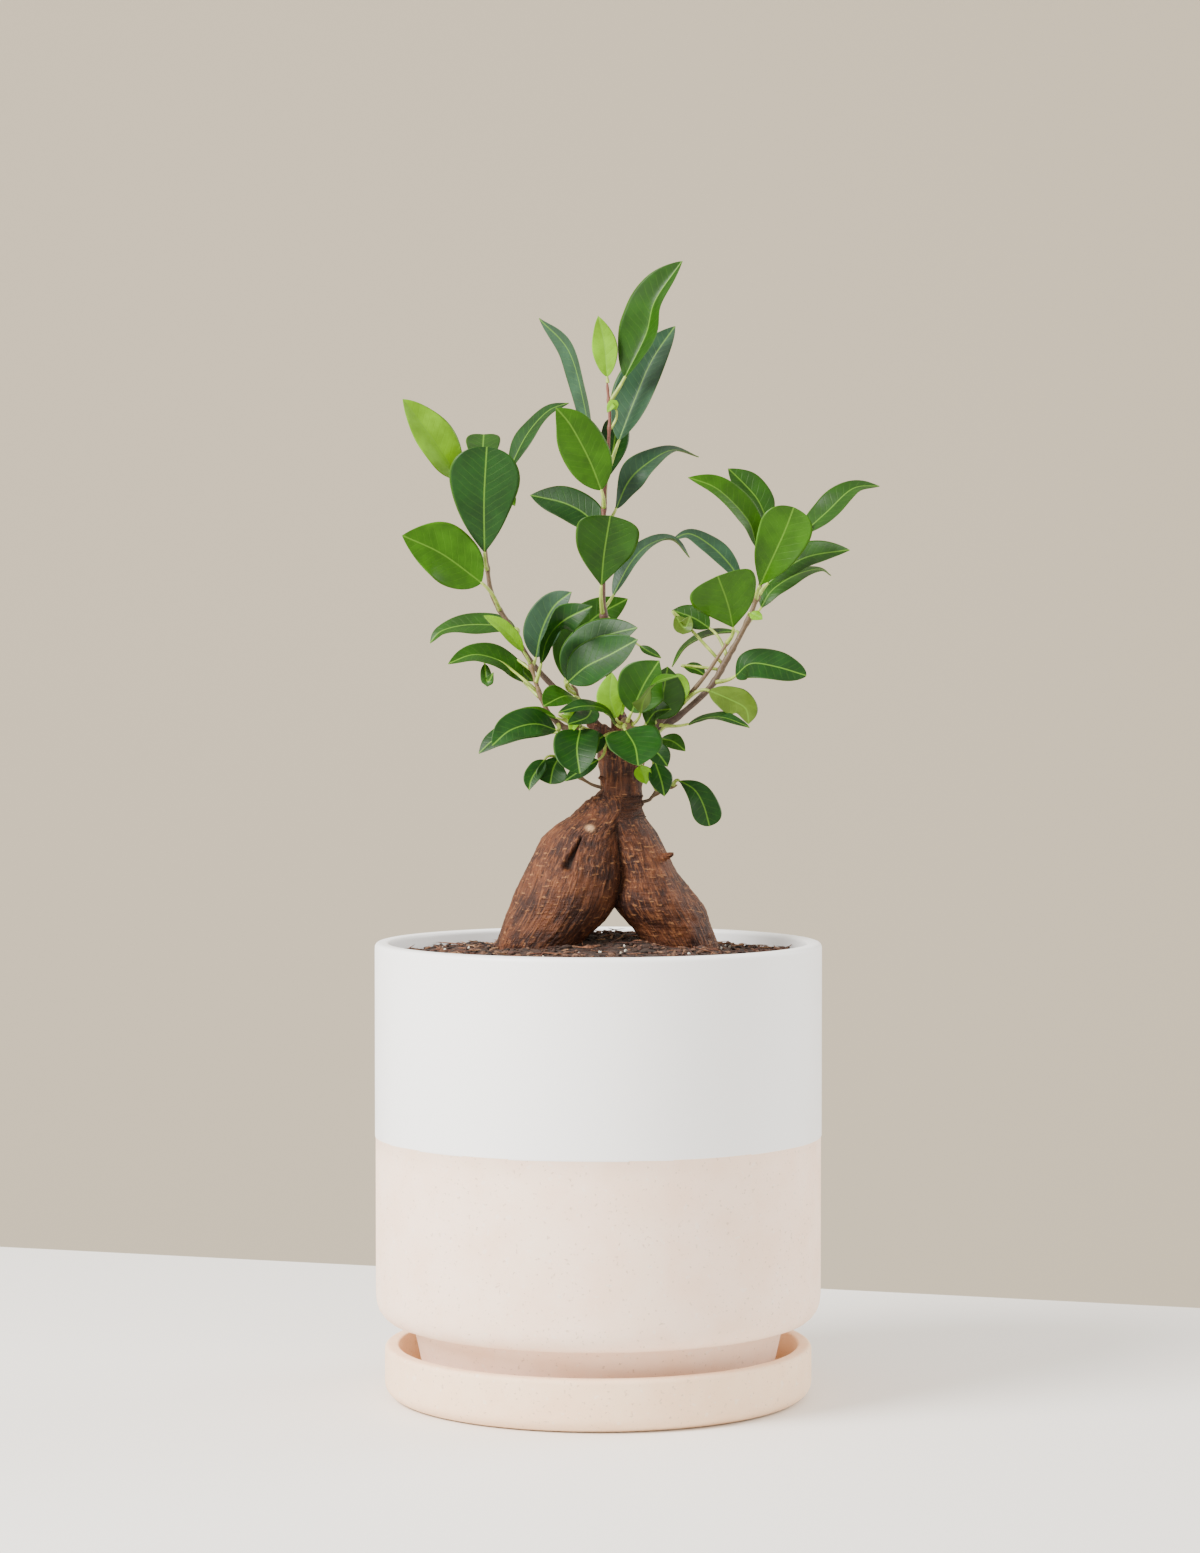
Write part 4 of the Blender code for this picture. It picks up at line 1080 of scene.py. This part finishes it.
class BONSAI_OT_trunk(bpy.types.Operator):
    """Builds the root trunk: two legs, the neck and the shoots' feet, joined and given bark."""

    bl_idname = "bonsai.trunk"
    bl_label = "Root trunk"

    def execute(self, context):
        shells = [rings_shell(leg_rings(LEFT_LEG, 60, 56, 0.035, 21)),
                  rings_shell(leg_rings(RIGHT_LEG, 60, 56, 0.03, 22)),
                  rings_shell(leg_rings(NECK, 30, 40, 0.07, 23))]
        for foot_radius, _, route in SHOOTS.values():
            if is_twig(route):
                continue
            line = smooth_path([(*NECK_AXIS, 211.0), route[0], route[2]], 16)
            shells.append(rings_shell(tube(line, np.linspace(3.6, foot_radius + 0.1, 16), 12)))
        for foot, end, radius in TRUNK_STUBS:
            girth = radius * np.array([1.5, 1.2, 1, 1, 0.95, 0.9, 0.85, 0.6])
            shells.append(rings_shell(tube(smooth_path([foot, end], len(girth)), girth, 10)))
        bark = bark_material()
        piece = add_piece("trunk", shells, [bark], ["root_trunk"])
        remesh = piece.modifiers.new("Join", "REMESH")
        remesh.mode = "VOXEL"
        remesh.voxel_size = context.scene.bonsai_sizes.bark_voxel
        soften = piece.modifiers.new("Soften", "SMOOTH")
        soften.factor = 0.5
        soften.iterations = 4
        solid = piece.evaluated_get(context.evaluated_depsgraph_get())
        mesh = bpy.data.meshes.new_from_object(solid)
        piece.modifiers.clear()
        piece.data = mesh
        mesh.materials.clear()
        mesh.materials.append(bark)
        self.add_bark(mesh)
        mesh.shade_smooth()
        return {"FINISHED"}

    def add_bark(self, mesh):
        """Moves each point along its normal by fibres, rings, pits and the split, and stores masks, among
        them painted shade for the cracks, the split and where the legs meet.
        """
        count = len(mesh.vertices)
        points, normals = np.empty(count * 3), np.empty(count * 3)
        mesh.vertices.foreach_get("co", points)
        mesh.vertex_normals.foreach_get("vector", normals)
        points, normals = points.reshape(-1, 3) / MM, normals.reshape(-1, 3)
        left, left_out = leg_coordinates(points, LEFT_LEG)
        right, right_out = leg_coordinates(points, RIGHT_LEG)
        neck = np.clip((points[:, 2] - 194.0) / 8.0, 0, 1)
        on_left = left_out < right_out
        away = np.where(on_left[:, None], left, right + 60.0)
        away = away * (1 - neck[:, None]) + points[:, :2] * neck[:, None]
        grain = np.column_stack([away, points[:, 2]])
        fibre = noise(grain, np.array([1.3, 1.3, 10.0]), 31)
        fibre = fibre + 0.6 * noise(grain, np.array([0.7, 0.7, 5.0]), 32)
        rings = noise(grain, np.array([9.0, 9.0, 1.3]), 33)
        lumps = noise(grain, 6.0, 34)
        cork = noise(grain, np.array([2.2, 2.2, 1.6]), 35)
        fibrous = np.where(on_left, 0.26, 0.14) + 0.22 * neck
        ringed = np.where(on_left, 0.07, 0.17) + 0.12 * neck
        depth = fibrous * fibre + ringed * rings + (0.30 + 0.55 * neck) * lumps
        depth = depth + 0.16 * (cork > 0.45) * cork
        # painted shade in the fibre cracks, deeper on the neck
        crevice_shade = 0.45 * np.clip(-fibre, 0, 1) * (0.4 + 0.9 * neck)
        face = points[:, [0, 2]]
        split_foot, split_top = np.array(SPLIT)
        axis = split_top - split_foot
        share = np.clip(((face - split_foot) @ axis) / axis.dot(axis), 0, 1)
        gap = np.linalg.norm(face - split_foot - share[:, None] * axis, axis=1)
        gap = gap / (0.3 + 1.2 * (1 - share) ** 2)
        front = points[:, 1] < FRONT
        hole = np.exp(-gap ** 2.2) * front
        lip = np.exp(-((gap - 1.9) / 0.6) ** 2) * front
        depth = depth - SPLIT_DEPTH * hole + SPLIT_LIP * lip
        spot = np.linalg.norm((face - np.array(SCAR)) / np.array(SCAR_SIZE), axis=1)
        spot = spot * (1 + 0.35 * noise(grain, 1.5, 37))
        scar = np.exp(-spot ** 3) * front
        depth = depth + 0.3 * scar * noise(grain, 1.2, 36)
        # painted shade where the two legs meet
        leg_join_shade = np.exp(-np.abs(left_out - right_out) / 0.10)
        leg_join_shade = leg_join_shade * (left_out < 1.25) * (points[:, 2] < 193.0)
        # all the painted shade together, the split's hole darkened as painted shade too
        crevice_shade = np.clip(crevice_shade + 1.3 * hole + 0.8 * leg_join_shade, 0, 1)
        points = (points + normals * depth[:, None]) * MM
        mesh.vertices.foreach_set("co", points.ravel())
        for key, values in (("grain", grain), ("crevice_shade", crevice_shade), ("scar", 0.8 * scar)):
            store(mesh, key, values)
        mesh.update()


class BONSAI_OT_shoots(bpy.types.Operator):
    """Builds the shoots: tapered tubes with a swelling where each leaf stands."""

    bl_idname = "bonsai.shoots"
    bl_label = "Shoots"

    def execute(self, context):
        finish = shoot_material()
        for name in SHOOTS:
            rings, share = shoot_tube(name, 14)
            tip = linear("#6a3a2c") if name == "shoot_centre" else linear("#64502f")
            wood = linear("#3c281d")
            tint = wood + (tip - wood) * np.clip(share * 1.3 - 0.3, 0, 1)[:, None]
            tints = np.repeat(tint, rings.shape[1], axis=0)
            shell = rings_shell(rings, 0, {"stem_colour": tints})
            add_piece(f"{name}_bark", [shell], [finish], [name])
        return {"FINISHED"}


class BONSAI_OT_leaves(bpy.types.Operator):
    """Builds the large leaves, each a blade surface with its stalk."""

    bl_idname = "bonsai.leaves"
    bl_label = "Leaves"

    def execute(self, context):
        sizes = context.scene.bonsai_sizes
        finishes = [leaf_material(sizes.vein_gap / MM), petiole_material()]
        for place, (name, values) in enumerate(NAMED_LEAVES.items()):
            shells = leaf_shells(values, PLAIN_SEED + place, *PLAIN_GRID, sizes.blade_thickness / MM)
            add_piece(f"{name}_blade", shells, finishes, [name])
        return {"FINISHED"}


class BONSAI_OT_young_leaves(bpy.types.Operator):
    """Builds the small and half hidden leaves that stand on no CAD node."""

    bl_idname = "bonsai.young_leaves"
    bl_label = "Young leaves"

    def execute(self, context):
        sizes = context.scene.bonsai_sizes
        finishes = [bpy.data.materials["waxy ficus leaf"], bpy.data.materials["leaf stalk"]]
        for place, values in enumerate(YOUNG_LEAVES):
            shells = leaf_shells(values, YOUNG_SEED + place, *YOUNG_GRID, sizes.blade_thickness / MM)
            add_piece(f"young_leaf_{place + 1}", shells, finishes)
        return {"FINISHED"}


def area_lamp(name, size, power, spot, target):
    """A square soft light at a spot that looks at a target."""
    light = bpy.data.lights.new(name, "AREA")
    light.size, light.energy = size, power
    lamp = bpy.data.objects.new(name, light)
    lamp.location = spot
    lamp.rotation_mode = "QUATERNION"
    lamp.rotation_quaternion = (Vector(target) - lamp.location).to_track_quat("-Z", "Y")
    return lamp


class BONSAI_OT_stage(bpy.types.Operator):
    """Sets a pale table, a plain wall, a large soft light from the left and the camera."""

    bl_idname = "bonsai.stage"
    bl_label = "Stage"

    def execute(self, context):
        settings = context.scene.bonsai_stage
        back = np.array([(-0.25, 0.33), (0.23, 0.175)])      # two points of the table's far edge
        run = unit(back[1] - back[0])
        front = np.array([run[1], -run[0]])
        middle = back.mean(axis=0)
        outline = [middle + run * a + front * b
                   for a, b in ((-1.3, 1.7), (1.3, 1.7), (1.3, 0), (-1.3, 0))]
        points = [(x, y, z) for z in (-0.04, 0.0) for x, y in outline]
        faces = [(3, 2, 1, 0), (4, 5, 6, 7), (0, 1, 5, 4), (1, 2, 6, 5), (2, 3, 7, 6), (3, 0, 4, 7)]
        mesh = bpy.data.meshes.new("table")
        mesh.from_pydata(points, [], faces)
        table = bpy.data.objects.new("table", mesh)
        bevel = table.modifiers.new("Edge", "BEVEL")
        bevel.width = 0.002
        bevel.segments = 3
        mesh.materials.append(new_material("painted table top", "#e9e6e2", 0.6)[0])
        wall_mesh = bpy.data.meshes.new("wall")
        corners = [(-4, 2.6, -2), (4, 2.6, -2), (4, 2.6, 3), (-4, 2.6, 3)]
        wall_mesh.from_pydata(corners, [], [(0, 1, 2, 3)])
        wall = bpy.data.objects.new("wall", wall_mesh)
        wall_mesh.materials.append(new_material("painted wall", "#c0b4a0", 0.9)[0])
        key = area_lamp("key", 0.9, settings.key_power, (-1.15, -0.75, 1.15), (0.0, 0.0, 0.18))
        key.data.shape = "DISK"
        key.data.color = (1.0, 0.98, 0.95)
        fill = area_lamp("fill", 0.8, settings.key_power * FILL_SHARE, (1.3, 0.5, 0.7), (0.0, 0.0, 0.1))
        camera = bpy.data.objects.new("camera", bpy.data.cameras.new("camera"))
        camera.data.lens = settings.lens
        camera.data.sensor_width = 36.0
        camera.location = (0.0006, -1.309, 0.247)
        camera.rotation_euler = (math.radians(90 - CAMERA_DIP), 0, 0)
        for piece in (table, wall, key, fill, camera):
            bpy.context.collection.objects.link(piece)
        context.scene.camera = camera
        world = bpy.data.worlds.new("room")
        world.use_nodes = True
        sky = world.node_tree.nodes["Background"]
        sky.inputs["Color"].default_value = rgba("#e9e5dd")
        sky.inputs["Strength"].default_value = settings.ambient
        context.scene.world = world
        return {"FINISHED"}


STEPS = (BONSAI_OT_saucer, BONSAI_OT_pot, BONSAI_OT_soil, BONSAI_OT_litter, BONSAI_OT_trunk,
         BONSAI_OT_shoots, BONSAI_OT_leaves, BONSAI_OT_young_leaves, BONSAI_OT_stage)


class BONSAI_PT_panel(bpy.types.Panel):
    """Lists the settings and the pieces."""

    bl_idname = "BONSAI_PT_panel"
    bl_label = "Bonsai"
    bl_space_type = "VIEW_3D"
    bl_region_type = "UI"
    bl_category = "Bonsai"

    def draw(self, context):
        column = self.layout.column()
        for group in (context.scene.bonsai_sizes, context.scene.bonsai_stage):
            for key in group.__annotations__:
                column.prop(group, key)
        for made in STEPS:
            column.operator(made.bl_idname)


CLASSES = (BonsaiSizes, BonsaiStage, *STEPS, BONSAI_PT_panel)


def register():
    """Adds the classes and the scene's settings."""
    for made in CLASSES:
        bpy.utils.register_class(made)
    bpy.types.Scene.bonsai_sizes = bpy.props.PointerProperty(type=BonsaiSizes)
    bpy.types.Scene.bonsai_stage = bpy.props.PointerProperty(type=BonsaiStage)


def unregister():
    """Takes them away again."""
    del bpy.types.Scene.bonsai_stage
    del bpy.types.Scene.bonsai_sizes
    for made in reversed(CLASSES):
        bpy.utils.unregister_class(made)


def main():
    """Builds every piece in order."""
    register()
    bpy.ops.bonsai.saucer()
    bpy.ops.bonsai.pot()
    bpy.ops.bonsai.soil()
    bpy.ops.bonsai.litter()
    bpy.ops.bonsai.trunk()
    bpy.ops.bonsai.shoots()
    bpy.ops.bonsai.leaves()
    bpy.ops.bonsai.young_leaves()
    bpy.ops.bonsai.stage()


if __name__ == "__main__":
    main()
